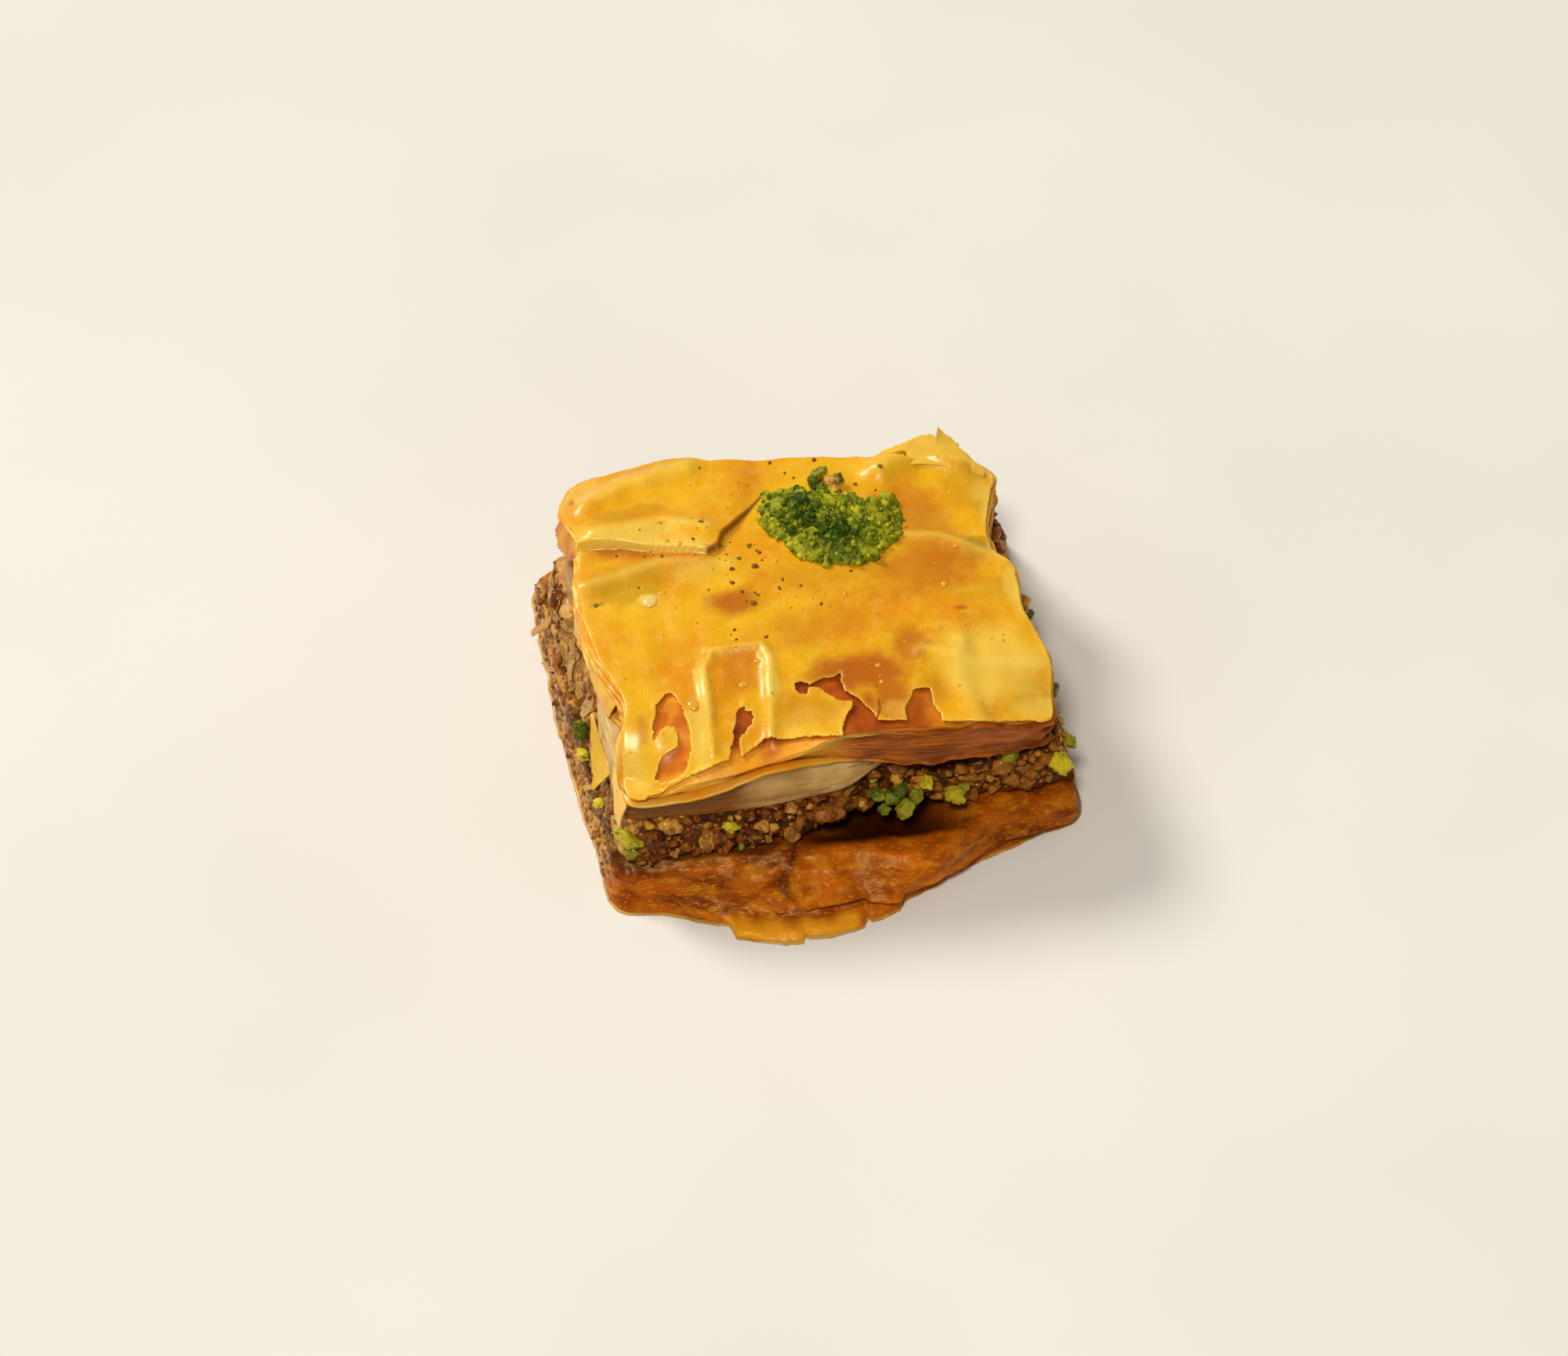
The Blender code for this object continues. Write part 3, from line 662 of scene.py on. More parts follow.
WALNUT_DEEP = srgb(146, 80, 12)
WALNUT_GOLD = srgb(212, 142, 38)
walnut_finish, nodes, inputs = new_finish("walnut_pieces", {
    "Roughness": 0.42, "Coat Weight": 0.26, "Coat Roughness": 0.08, "Specular IOR Level": 0.1,
    "Subsurface Weight": 0.35, "Subsurface Radius": (1.0, 0.5, 0.15), "Subsurface Scale": 0.8 * MM,
})
tone = nodes.value("tone")
skin = nodes.noise(1.1, 3.0, shift=0.7).between(0.42, 0.6)
flesh = tone.between(0.4, 1.1).mix(WALNUT_DEEP, WALNUT_CREAM)
shade = tone.between(0.1, 0.8).mix(NUT_SHADE, WALNUT_SKIN)
colour = (skin * 0.75).mix(flesh, shade)
(nodes.value("mushy") * 0.22).mix(colour, WALNUT_GOLD).feed(inputs["Base Color"])
nodes.noise(0.4, 3.0).bump(0.15).feed(inputs["Normal"])

PISTACHIO_YELLOW = srgb(222, 196, 34)
PISTACHIO_GREEN = srgb(78, 92, 6)
PISTACHIO_MOTTLE = srgb(156, 158, 18)
PISTACHIO_SKIN = srgb(74, 62, 12)
pistachio_finish, nodes, inputs = new_finish("pistachio_pieces", {
    "Roughness": 0.48, "Coat Weight": 0.2, "Coat Roughness": 0.12, "Specular IOR Level": 0.2,
    "Subsurface Weight": 0.3, "Subsurface Radius": (0.8, 1.0, 0.15), "Subsurface Scale": 0.7 * MM,
})
tone = nodes.value("tone")
colour = tone.between(0.1, 0.9).mix(PISTACHIO_GREEN, PISTACHIO_YELLOW)
colour = (nodes.noise(1.2, 3.0).between(0.5, 0.66) * 0.7).mix(colour, PISTACHIO_MOTTLE)
skin = nodes.noise(0.8, 2.0, shift=0.4).between(0.58, 0.7) * 0.7
skin.mix(colour, PISTACHIO_SKIN).feed(inputs["Base Color"])
nodes.noise(0.35, 3.0).bump(0.2).feed(inputs["Normal"])

rings = stack_rings(NUTS_AROUND, NUTS_LEAVES, np.linspace(0.6, 0.985, 20), nuts_place, NUT_PROFILE)
points, faces = closed_rings(rings, True)
pasty = smooth(-23.4, -24.8, points[:, 0])
mushy = smooth(2.0, 12.0, points[:, 0])
core = new_piece("nut_core", points, faces, core_finish, {"pasty": pasty, "mushy": mushy})
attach(core, "root")
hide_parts("nut_filling")

x, y, z = points.T
rim = np.maximum(np.maximum(-x - 21.5, x - 23.5), np.maximum(-y - 19.0, y - 17.5))
open_side = smooth(0.0, 0.6, rim) * smooth(5.6, 6.2, z)
sparse = open_side * (1.0 - 0.82 * pasty)
for name, bed, amount, finish, shapes, spacing, sizes, sink, seed in (
    ("walnut_pieces", core, sparse, walnut_finish, pebbles, 1.3, (1.0, 3.0), 0.0, SEED),
    ("walnut_crumbs", core, sparse, walnut_finish, crumbs, 0.85, (0.45, 1.2), 0.15, SEED + 1),
    ("pistachio_pieces", core, sparse * 0.35, pistachio_finish, pebbles, 3.6, (1.0, 2.6), 0.2, SEED + 2),
    ("side_crumbs", base, crumbly, walnut_finish, pebbles, 1.1, (0.4, 1.2), -0.1, SEED + 11),
):
    piece = scattered_piece(name, bed, amount, finish, shapes, spacing, sizes, sink, seed)
    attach(piece, "root")

# Scraps of leaf torn off by the knife: thin, limp and fibrous, stuck with syrup over the nuts and the base on
# the left, most of them lying down the slope, from cream and tan to dark amber.
SCRAP_STEPS = (22, 12)
SCRAPS = 34
SCRAP_THICK = 0.14
SCRAP_AMBER = srgb(140, 76, 16)
SCRAP_TAN = srgb(204, 150, 72)
SCRAP_CREAM = srgb(226, 184, 108)
scrap_finish, nodes, inputs = new_finish("leaf_scraps", {
    "Roughness": 0.36, "Coat Weight": 0.12, "Coat Roughness": 0.06, "Specular IOR Level": 0.4,
    "Specular Tint": (1.0, 0.82, 0.5, 1.0),
    "Subsurface Weight": 0.4, "Subsurface Radius": (1.0, 0.6, 0.2), "Subsurface Scale": 0.8 * MM,
})
fibres = nodes.noise(0.5, 3.0, (1.0, 0.7, 4.0))
wet = nodes.value("tone").between(0.1, 0.9).mix(SCRAP_AMBER, SCRAP_TAN)
(fibres.between(0.45, 0.66) * 0.6).mix(wet, SCRAP_CREAM).feed(inputs["Base Color"])
fibres.bump(0.2).feed(inputs["Normal"])


def on_left_side(y, level):
    """A point of the left side at this y, 0 at the nuts' foot, 1 at their top, and below 0 on the base."""
    share = (y - NUTS["corners"][0][1]) / (NUTS["corners"][3][1] - NUTS["corners"][0][1])
    points = nuts_place(np.zeros_like(share), share, 0, level, 0.0)
    points[..., 0] -= 1.3 * smooth(0.1, -0.5, level)
    return points


def grid_quads(index):
    """The faces of a grid whose points have these numbers."""
    corners = [index[:-1, :-1], index[:-1, 1:], index[1:, 1:], index[1:, :-1]]
    return np.stack(corners, axis=-1).reshape(-1, 4)


chance = random.Random(SEED + 12)
points, faces, tones = [], [], []
for number in range(SCRAPS):
    along_y, start = chance.uniform(-22.0, 20.0), chance.uniform(-0.3, 0.8)
    length, width = chance.uniform(2.6, 6.5), chance.uniform(1.2, 3.0)
    turn, curl = chance.gauss(0.0, 0.5), chance.uniform(0.0, 0.25)
    grid = [np.linspace(first, 1.0, steps) for first, steps in zip((0.0, -1.0), SCRAP_STEPS)]
    s, t = np.meshgrid(*grid, indexing="ij")
    taper = np.sin(np.pi * (0.12 + 0.76 * s)) ** 0.6 * (1.0 + 0.35 * grain(s * 3.0, number * 3.0))
    down, across = (s - 0.5) * length, t * 0.5 * width * taper
    level = start + (down * math.cos(turn) - across * math.sin(turn)) / 9.0
    lying = on_left_side(along_y + across * math.cos(turn) - down * math.sin(turn), level)
    lift = 0.16 + curl * (s - 0.5) ** 2 * 2.0 + 0.16 * grain(s * 2.5, t * 1.2, number * 2.0)
    sheet = []
    for thick in (0.0, SCRAP_THICK):
        layer = lying.copy()
        layer[..., 0] -= (lift + thick) * 0.85
        layer[..., 2] += (lift + thick) * 0.5
        sheet.append(layer)
    before = sum(len(part) for part in points)
    count = sheet[0][..., 0].size
    index = np.arange(count).reshape(SCRAP_STEPS)
    quads = grid_quads(index)
    edge = np.concatenate([index[:, 0], index[-1, 1:-1], index[::-1, -1], index[0, -2:0:-1]])
    walls = np.stack([edge, np.roll(edge, -1), np.roll(edge, -1) + count, edge + count], axis=-1)
    made = np.concatenate([quads[:, ::-1], quads + count, walls]) + before
    faces.extend(made.tolist())
    points.extend([sheet[0].reshape(-1, 3), sheet[1].reshape(-1, 3)])
    tones.extend([chance.random()] * (2 * count))
scraps = new_piece("leaf_scraps", np.concatenate(points), faces, scrap_finish, {"tone": tones})
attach(scraps, "root")

# The pale leaves: soft cream-coloured filo on the nuts that the oven never browned. It is steamed and
# slightly see-through, and bulges out at the front and left where the crust has lifted.
INNER_TOP = 14.0
INNER_LEAVES = 4
INNER_AROUND = 620
RIM_DEPTH = 6.0
LENS_SWELL = 1.7
INNER = {
    "corners": ((-24.8, -22.3), (25.6, -19.8), (24.6, 21.4), (-25.2, 22.6)),
    "front": ((-2.0, 8.0, -0.8),),
    "right": ((4.0, 6.0, -1.2),),
    "back": (),
    "left": ((14.0, 6.0, 1.6), (-9.0, 5.0, 0.4)),
}


def rim_share(x, y):
    """1 at the crust's sides, 0 from RIM_DEPTH inside them."""
    inside = np.minimum(np.minimum(x + 24.5, 26.5 - x), np.minimum(y + 22.5, 22.5 - y))
    return 1.0 - smooth(0.0, RIM_DEPTH, inside)


def inner_top(x, y):
    """The pale leaves' upper face, lifted at the front on the left."""
    left = 1.0 - smooth(0.0, 12.0, x)
    lifted = 2.9 * bell(x + 5.5, 9.0) * (1.0 - smooth(-22.0, -14.0, y))
    return INNER_TOP + (-0.8 + 1.5 * left + lifted) * rim_share(x, y)


def inner_place(u, v, leaf, level, pull):
    """Points of the pale leaves, which bulge at the front on the left and draw back on the right."""
    wander = ragged_leaf(leaf, 0.45, SEED + 1)

    def ragged(side, place_along):
        if side == "front":
            round_out = 0.8 + 0.5 * math.sin(math.pi * min(level, 1.0))
            swell = LENS_SWELL * bell(place_along + 4.0, 12.0) * round_out
            swell = swell - 3.4 * smooth(1.0, 9.5, place_along) * smooth(25.0, 21.0, place_along)
            layered = 0.35 + 0.65 * smooth(6.0, 10.0, place_along)
            return layered * (wander(side, place_along) + 0.5 * pull) + 0.7 * (1.0 - level) - 0.2 + swell
        return wander(side, place_along) + 0.5 * pull + 0.7 * (1.0 - level) - 0.2

    x, y = plan(INNER, u, v, ragged)
    bottom = NUTS_TOP - 0.2 - sunken_front(x, y)
    waves = 0.18 * grain(x / 2.4, y / 2.4, leaf * 1.7) * (0.1 < level)
    return np.stack([x, y, bottom + (inner_top(x, y) - bottom) * level + waves], axis=-1)


PALE_CREAM = srgb(214, 178, 112)
PALE_AMBER = srgb(164, 106, 30)
PALE_SOAKED = srgb(132, 76, 14)
pale_finish, nodes, inputs = new_finish("pale_leaves", {
    "Roughness": 0.42, "Coat Weight": 0.1, "Coat Roughness": 0.15, "Specular IOR Level": 0.2,
    "Subsurface Weight": 0.4, "Subsurface Radius": (1.0, 0.6, 0.3), "Subsurface Scale": 1.0 * MM,
})
creases = nodes.noise(2.6, 3.0, (2.0, 2.0, 1.0)).between(0.4, 0.66)
colour = (creases * 0.6).mix(PALE_CREAM, PALE_AMBER)
colour = nodes.value("soaked").mix(colour, PALE_SOAKED)
nodes.value("gap").mix(colour, WET_SHADOW_BLACK).feed(inputs["Base Color"])
nodes.noise(1.3, 3.0, (2.0, 2.0, 0.8)).bump(0.12).feed(inputs["Normal"])
rings = stack_rings(INNER_AROUND, INNER_LEAVES, np.linspace(0.75, 0.99, 10), inner_place)
points, faces = closed_rings(rings, True)
x, y, z = points.T
soaked = 1.3 * smooth(-7.0, -14.0, x) * smooth(-19.0, -21.0, y)
soaked = soaked + smooth(5.0, 9.0, x) * 0.8 + smooth(-10.0, 0.0, y) * 0.5
soaked = np.clip(soaked + 0.3 * grain(x / 3.0, y / 3.0, z / 1.5), 0.0, 1.0)
# Painted shadow in the gap under the crust at the front right, where the pale leaves draw back.
gap = smooth(6.0, 8.5, x) * smooth(24.0, 20.0, x) * smooth(-14.0, -17.0, y) * 0.9
pale = new_piece("pale_leaves", points, faces, pale_finish, {"soaked": soaked, "gap": gap})
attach(pale, "root")
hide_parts("inner_filo")

# The crust: golden baked filo under a syrup glaze. A stack of browned leaves carries thin leaves that stand
# out at its sides, and the torn and wrinkled top leaf, through which the darker leaf beneath shows, with
# painted shade in the tears.
CRUST_TOP = 21.4
CRUST_DROOPS = (
    (-26.0, -25.0, 6.5, 4.6), (28.0, -22.0, 8.0, 1.6), (-26.0, 25.0, 6.0, 1.2), (27.0, 21.0, 5.0, 1.3),
)
CRUST_LEAVES = 8
CRUST_AROUND = 760
CRUST = {
    "corners": ((-24.3, -23.8), (27.0, -21.0), (25.6, 19.6), (-24.6, 24.6)),
    "front": ((-14.0, 5.0, 0.6), (3.0, 6.0, -0.8)),
    "right": (
        (17.5, 3.0, 0.9), (7.5, 5.0, -2.3), (4.2, 1.3, -0.6), (1.7, 1.1, 0.5), (-4.2, 2.6, -0.6),
        (-12.4, 4.4, 1.1),
    ),
    "back": ((-13.0, 5.0, 1.4), (2.0, 12.0, 1.0), (18.5, 4.5, 3.0)),
    "left": ((19.0, 4.0, 1.8), (4.0, 10.0, 1.9), (-13.0, 4.5, -1.6)),
}
WELTS = (
    (((-13.6, -20.0), (-13.2, -9.6), (-11.8, -6.9), (-5.9, -6.9), (-5.3, -9.3), (-6.6, -20.0)), 0.8, 0.5),
    (((-24.0, 19.0), (-18.5, 21.6), (-11.0, 22.4)), 1.6, 0.9),
    (((-23.5, 13.6), (-14.5, 14.0), (-10.0, 11.8)), 1.5, 0.9),
    (((-25.0, 6.0), (-16.0, 8.0), (-8.0, 6.4)), 1.7, 0.6),
    (((11.5, 8.6), (18.0, 7.2), (25.0, 2.6)), 1.2, 0.7),
    (((13.0, -10.0), (19.0, -13.0), (26.5, -13.5)), 1.6, 0.5),
    (((12.5, 19.0), (17.0, 21.8), (22.5, 19.5)), 2.2, 1.7),
    (((18.0, -22.0), (16.5, -15.0), (17.5, -9.0)), 1.5, 0.4),
)
FOLD = (
    (-27.0, 12.3), (-20.5, 11.4), (-10.2, 8.2), (-8.8, 9.0), (-8.0, 10.9), (-6.6, 12.2), (-4.6, 14.3),
    (-2.0, 17.4),
)
FOLD_STEP = 1.1
FOLD_FADE = 7.0
TOP_LEAF = 0.24
HEAP_MIDDLE = (5.4, 11.0)
HEAP_OUTLINE = (
    (-3.1, 11.4), (-2.0, 10.0), (-1.0, 9.0), (-0.6, 7.5), (0.3, 6.1), (2.8, 5.0), (5.3, 4.3), (7.2, 3.6),
    (9.6, 4.8), (11.3, 5.9), (12.7, 7.1), (13.6, 9.4), (14.1, 12.4), (13.7, 14.2), (12.2, 14.0),
    (10.7, 13.6), (9.6, 14.4), (8.6, 15.3), (7.4, 15.5), (6.6, 16.8), (5.8, 17.2), (4.6, 17.2), (3.6, 16.3),
    (2.6, 16.6), (1.4, 17.8), (0.4, 17.4), (-0.7, 17.0), (-2.2, 17.2), (-3.1, 13.8),
)


def along(points, x, y):
    """The distance from (x, y) to a line through points, and which side it is on: above 0 is the left."""
    best, side = np.full(x.shape, 1e9), np.ones(x.shape)
    for (ax, ay), (bx, by) in zip(points, points[1:]):
        dx, dy = bx - ax, by - ay
        t = np.clip(((x - ax) * dx + (y - ay) * dy) / (dx * dx + dy * dy), 0.0, 1.0)
        distance = np.hypot(x - ax - t * dx, y - ay - t * dy)
        nearer = distance < best
        best = np.where(nearer, distance, best)
        side = np.where(nearer, dx * (y - ay) - dy * (x - ax), side)
    return best, side


def heap_reach(angle):
    """How far the ground pistachio's uneven edge is from its middle in this direction."""
    dx, dy = (np.array(HEAP_OUTLINE) - HEAP_MIDDLE).T
    return np.interp(angle, np.arctan2(dy, dx), np.hypot(dx, dy), period=math.tau)


def heap_radius(x, y):
    """0 in the middle of the ground pistachio and 1 at its edge."""
    dx, dy = x - HEAP_MIDDLE[0], y - HEAP_MIDDLE[1]
    return np.hypot(dx, dy) / heap_reach(np.arctan2(dy, dx))


def crust_top(x, y):
    """The crust's upper face: a low dome with drooping corners, folds and welts."""
    z = CRUST_TOP - 1.0 * (x / 26.0) ** 2 - 0.7 * (y / 24.0) ** 2
    for middle_x, middle_y, half, depth in CRUST_DROOPS:
        z -= depth * bell(np.hypot(x - middle_x, y - middle_y), half)
    z -= 2.4 * smooth(-13.0, -25.0, y) * smooth(3.0, -9.0, x)
    clear_of_heap = smooth(0.9, 1.5, heap_radius(x, y))
    z += clear_of_heap * (0.35 * grain(x / 7.0, y / 5.0) + 0.15 * grain(x / 2.6, y / 2.6, 5.0))
    distance, side = along(FOLD, x, y)
    folded = smooth(-0.25, 0.25, np.where(side > 0, distance, -distance)) * smooth(-1.8, -5.5, x)
    z += FOLD_STEP * folded * np.exp(-distance / FOLD_FADE) * clear_of_heap
    for line, half, height in WELTS:
        z += height * bell(along(line, x, y)[0], half) * clear_of_heap
    return np.maximum(z, inner_top(x, y) + CLEARANCE + 0.9)


def crust_span(x, y):
    """The heights between which the browned leaves lie."""
    return inner_top(x, y) + 0.1, crust_top(x, y) - TOP_LEAF - 0.1


def crust_place(u, v, leaf, level, pull):
    """Points of the browned leaves, parted at the sides and bent down over the front on the left."""
    wander = ragged_leaf(leaf, 0.5, SEED + 2)
    smoother = ragged_leaf(level * 0.3, 0.5, SEED + 2)

    def ragged(side, place_along):
        parted = pull * (0.2 + 1.1 * smooth(0.0, 0.35, grain(place_along / 9.0, leaf * 2.3, 66.0)))
        layered = 0.75 * wander(side, place_along) + 0.7 * parted
        layered = layered + 0.25 * grain(place_along / 2.0, level * 2.0, 64.0)
        if side == "front":
            bent = smoother(side, place_along) + 0.15 * pull - 0.5 * (1.0 - level)
            fused = 0.8 * smoother(side, place_along) + 0.9 * parted
            fused = fused + 0.35 * grain(place_along / 3.4, level * 3.0, 65.0)
            layered = 0.2 * layered + 0.8 * fused
            layered = layered + (bent - layered) * smooth(4.0, -2.0, place_along)
        return layered - 0.35

    x, y = plan(CRUST, u, v, ragged)
    low, high = crust_span(x, y)
    calm = 1.0 - smooth(-17.0, -20.0, y) * smooth(4.0, -2.0, x)
    waves = 0.1 * grain(x / 1.8, y / 1.8, leaf * 1.7) + 0.5 * grain(x / 9.0, y / 9.0, leaf * 2.9)
    waves = waves * calm * (0.05 < level) * (level < 0.96)
    return np.stack([x, y, low + (high - low) * level + waves], axis=-1)


BAKED_GOLD = srgb(247, 184, 16)
BAKED_DEEP = srgb(234, 148, 8)
BAKED_PALE = srgb(252, 206, 84)
BAKED_ORANGE = srgb(186, 94, 8)
BAKED_BROWN = srgb(116, 50, 6)
SUNLIT_GOLD = srgb(242, 160, 16)
BENEATH_LIGHT = (srgb(208, 104, 10), srgb(248, 168, 34))
BENEATH_SHADED = (srgb(140, 50, 4), srgb(184, 84, 8))
crust_look = {
    "Roughness": 0.34, "Coat Weight": 0.26, "Coat Roughness": 0.15, "Specular IOR Level": 0.4,
    "Specular Tint": (1.0, 0.82, 0.5, 1.0),
    "Subsurface Weight": 0.25, "Subsurface Radius": (1.0, 0.55, 0.1), "Subsurface Scale": 0.7 * MM,
}
browned_look = crust_look | {"Roughness": 0.36, "Coat Weight": 0.06}
browned_finish, nodes, inputs = new_finish("browned_leaves", browned_look)
lines = nodes.noise(0.8, 3.0, (9.0, 9.0, 0.45)).between(0.36, 0.68)
fused = nodes.noise(2.6, 3.0, (2.4, 2.0, 0.7)).between(0.36, 0.64)
colour = (lines * 0.2 + fused * 0.8).mix(BAKED_BROWN, BAKED_ORANGE)
sunlit = nodes.noise(2.4, 3.0, (3.0, 2.0, 1.0)).between(0.35, 0.68)
# Golden where this value is high; on the loose leaves' thin outer edges that is a painted highlight.
colour = nodes.value("golden").mix(colour, (sunlit * 0.85 + lines * 0.1).mix(SUNLIT_GOLD, BAKED_PALE))
runs = nodes.noise(2.1, 3.0, (1.5, 1.7, 1.0)).between(0.34, 0.66)
beneath = nodes.value("shaded").mix(runs.mix(*BENEATH_LIGHT), runs.mix(*BENEATH_SHADED))
nodes.value("torn").mix(colour, beneath).feed(inputs["Base Color"])
nodes.noise(0.6, 3.0, (3.5, 3.5, 0.8)).bump(0.08).feed(inputs["Normal"])

rings = stack_rings(CRUST_AROUND, CRUST_LEAVES, np.linspace(0.3, 0.995, 50), crust_place)
points, faces = closed_rings(rings, True)
x, y, z = points.T
high = crust_top(x, y)
on_top = smooth(0.75, 0.4, high - z) * (1.0 - 0.5 * smooth(-21.0, -22.6, y) * smooth(4.0, 0.0, x))
golden = smooth(4.0, -3.0, x) * 0.9 + smooth(1.3, 0.3, high - z) * 0.8 + smooth(-6.0, 2.0, y) * 0.5
golden = np.clip(golden, 0.0, 1.0)
margin = smooth(-19.6, -21.0, y) * smooth(4.0, 0.0, x)
shaded = smooth(-14.5, -12.0, x) * (1.0 - 0.75 * margin) * (1.0 - 0.35 * smooth(7.0, 9.0, x))
shaded += 0.6 * smooth(-15.0, -13.0, y) * smooth(-17.0, -18.5, x)
browned = new_piece("browned_leaves", points, faces, browned_finish, {
    "torn": on_top, "golden": golden, "shaded": np.clip(shaded, 0.0, 1.0)})
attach(browned, "root")
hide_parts("crust_filo")

# Loose leaves at the crust's sides: single browned sheets that stand out between the others, broken to a
# ragged edge and a little wavy. At the front on the left they droop over the pale leaves.
LOOSE_LEAVES = 6
LOOSE_AROUND = 880
LOOSE_THICK = 0.17
LOOSE_SECTION = ((-1.6, 0.0), (-0.3, 0.5), (0.35, 0.5), (0.5, 0.0), (0.35, -0.5), (-0.3, -0.5))


def loose_place(u, v, leaf, pull, lift):
    """Points of one loose leaf, pull out from the crust's side and lift leaf thicknesses up."""
    wander = ragged_leaf(leaf + 40, 0.7, SEED + 3)

    def ragged(side, place_along):
        uneven = 0.45 * grain(place_along / 7.0, leaf * 5.3, 90.0) - 0.15
        if side == "front":
            tucked = (0.35 if leaf in (0, 5) else 1.0) * smooth(-1.0, 5.0, place_along)
            bent = smooth(4.0, -2.0, place_along)
            edge = 0.2 if leaf == 0 else -1.6
            return wander(side, place_along) * (1.0 - 0.6 * bent) + pull - 0.15 - tucked + edge * bent
        return wander(side, place_along) + pull + uneven

    x, y = plan(CRUST, u, v, ragged)
    low, high = crust_span(x, y)
    share = (leaf + 0.4) / LOOSE_LEAVES
    waves = 0.3 * grain(x / 3.5, y / 3.5, 30.0 + leaf * 2.3) + 0.12 * grain(x / 1.1, y / 1.1, leaf * 3.1)
    waves = waves * np.clip((high - low) / 3.5, 0.0, 1.0) ** 2
    droop = 0.55 * np.maximum(pull, 0.0) ** 2 * smooth(10.0, -6.0, x) * smooth(-8.0, -18.0, y)
    return np.stack([x, y, low + (high - low) * share + waves - droop + lift * LOOSE_THICK], axis=-1)


u, v = rim_of_square(LOOSE_AROUND)
points, faces, golden = [], [], []
for leaf in range(LOOSE_LEAVES):
    rings = np.array([loose_place(u, v, leaf, pull, lift) for pull, lift in LOOSE_SECTION])
    made, quads = closed_rings(rings, False)
    before = sum(len(part) for part in points)
    faces.extend([[index + before for index in quad] for quad in quads])
    points.append(made)
    # The loose leaves' thin outer edges are painted paler as a highlight; the rest of this value is their own
    # gold, towards the left and the back.
    outward = np.repeat([pull for pull, _ in LOOSE_SECTION], len(u))
    lit = smooth(9.0, 2.0, made[:, 0]) * 0.8 + 0.4 * smooth(-6.0, 2.0, made[:, 1])
    lit = lit + 0.55 * smooth(21.0, 24.0, made[:, 0]) * smooth(-19.5, -17.0, made[:, 1]) * (leaf > 1)
    golden.append(lit * (0.75 + 0.35 * smooth(0.0, 0.5, outward)))
points = np.concatenate(points)
golden = np.clip(np.concatenate(golden), 0.0, 1.0)
bare = np.zeros_like(golden)
loose = new_piece("loose_leaves", points, faces, browned_finish, {
    "torn": bare, "golden": golden, "shaded": bare})
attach(loose, "root")

# The top leaf: one crisp golden sheet, brushed with butter and glazed with syrup. It has torn in four places
# towards the front, where its lips curl up, and ends short of the browned leaves at the front and back right.
LEAF_STEPS = 213
LEAF_THICK = 0.2
LIP_HEIGHT = 0.16
LEAF_FRONT = (
    (-30.0, -24.9), (-24.0, -24.8), (-21.3, -23.4), (-18.8, -22.9), (-16.3, -22.6), (-14.1, -22.2),
    (-12.4, -21.6), (-10.3, -21.5), (-8.8, -20.5), (-7.5, -19.9), (-5.2, -20.3), (-2.5, -20.6),
    (1.4, -21.7), (2.2, -20.8), (6.0, -19.9), (9.3, -20.4), (10.4, -21.2), (13.6, -20.9), (17.8, -21.6),
    (21.2, -21.1), (23.9, -20.9), (27.0, -21.4), (30.0, -21.4),
)
LEAF_BACK = (
    (32.0, 17.0), (26.5, 18.0), (23.7, 18.8), (18.8, 20.0), (16.8, 19.9), (11.8, 20.9), (8.0, 23.5),
    (0.0, 32.0),
)
TEARS = (
    (
        (-17.5, -12.2), (-18.1, -12.3), (-18.6, -13.0), (-19.4, -13.8), (-19.5, -14.8), (-20.0, -15.8),
        (-20.2, -17.9), (-19.6, -17.2), (-19.1, -16.7), (-18.1, -16.4), (-17.3, -16.9), (-17.5, -19.0),
        (-18.5, -19.3), (-19.6, -19.8), (-20.2, -20.4), (-20.7, -21.4), (-19.9, -22.1), (-18.2, -22.3),
        (-16.9, -21.7), (-16.0, -19.5), (-15.9, -17.5), (-16.1, -16.1), (-16.4, -14.6), (-16.9, -13.3),
    ),
    (
        (-9.2, -14.6), (-9.5, -15.5), (-10.1, -15.9), (-10.4, -17.0), (-10.9, -18.2), (-10.8, -18.8),
        (-11.3, -19.9), (-11.7, -21.4), (-11.7, -23.0), (-10.2, -23.0), (-10.3, -21.5), (-10.4, -20.3),
        (-10.2, -18.9), (-9.5, -18.6), (-9.0, -17.9), (-8.5, -17.6), (-8.3, -16.1), (-9.2, -16.0),
    ),
    (
        (-3.0, -13.4), (-2.0, -13.1), (-1.2, -13.8), (0.6, -13.0), (1.9, -13.0), (2.8, -12.3), (2.6, -13.6),
        (2.8, -15.3), (3.6, -15.9), (4.6, -17.1), (5.7, -18.9), (6.0, -19.9), (6.6, -23.0), (1.5, -23.0),
        (1.7, -21.6), (1.6, -20.7), (2.3, -18.9), (3.2, -17.7), (3.5, -16.7), (2.6, -16.7), (1.9, -16.4),
        (1.0, -15.5), (0.6, -15.2), (0.1, -14.5), (-1.3, -14.2), (-1.6, -15.1), (-2.0, -15.1),
        (-2.9, -14.4),
    ),
    (
        (11.0, -15.9), (12.7, -15.9), (12.9, -17.0), (12.8, -18.5), (13.4, -19.9), (13.4, -23.0),
        (10.1, -23.0), (9.3, -20.3), (9.4, -18.6), (10.1, -17.5),
    ),
)


def inside(outline, x, y):
    """Where (x, y) lies inside a closed outline."""
    found = np.zeros(x.shape, bool)
    for (ax, ay), (bx, by) in zip(outline, outline[1:] + outline[:1]):
        if ay != by:
            found ^= ((ay > y) != (by > y)) & (x < (bx - ax) * (y - ay) / (by - ay) + ax)
    return found


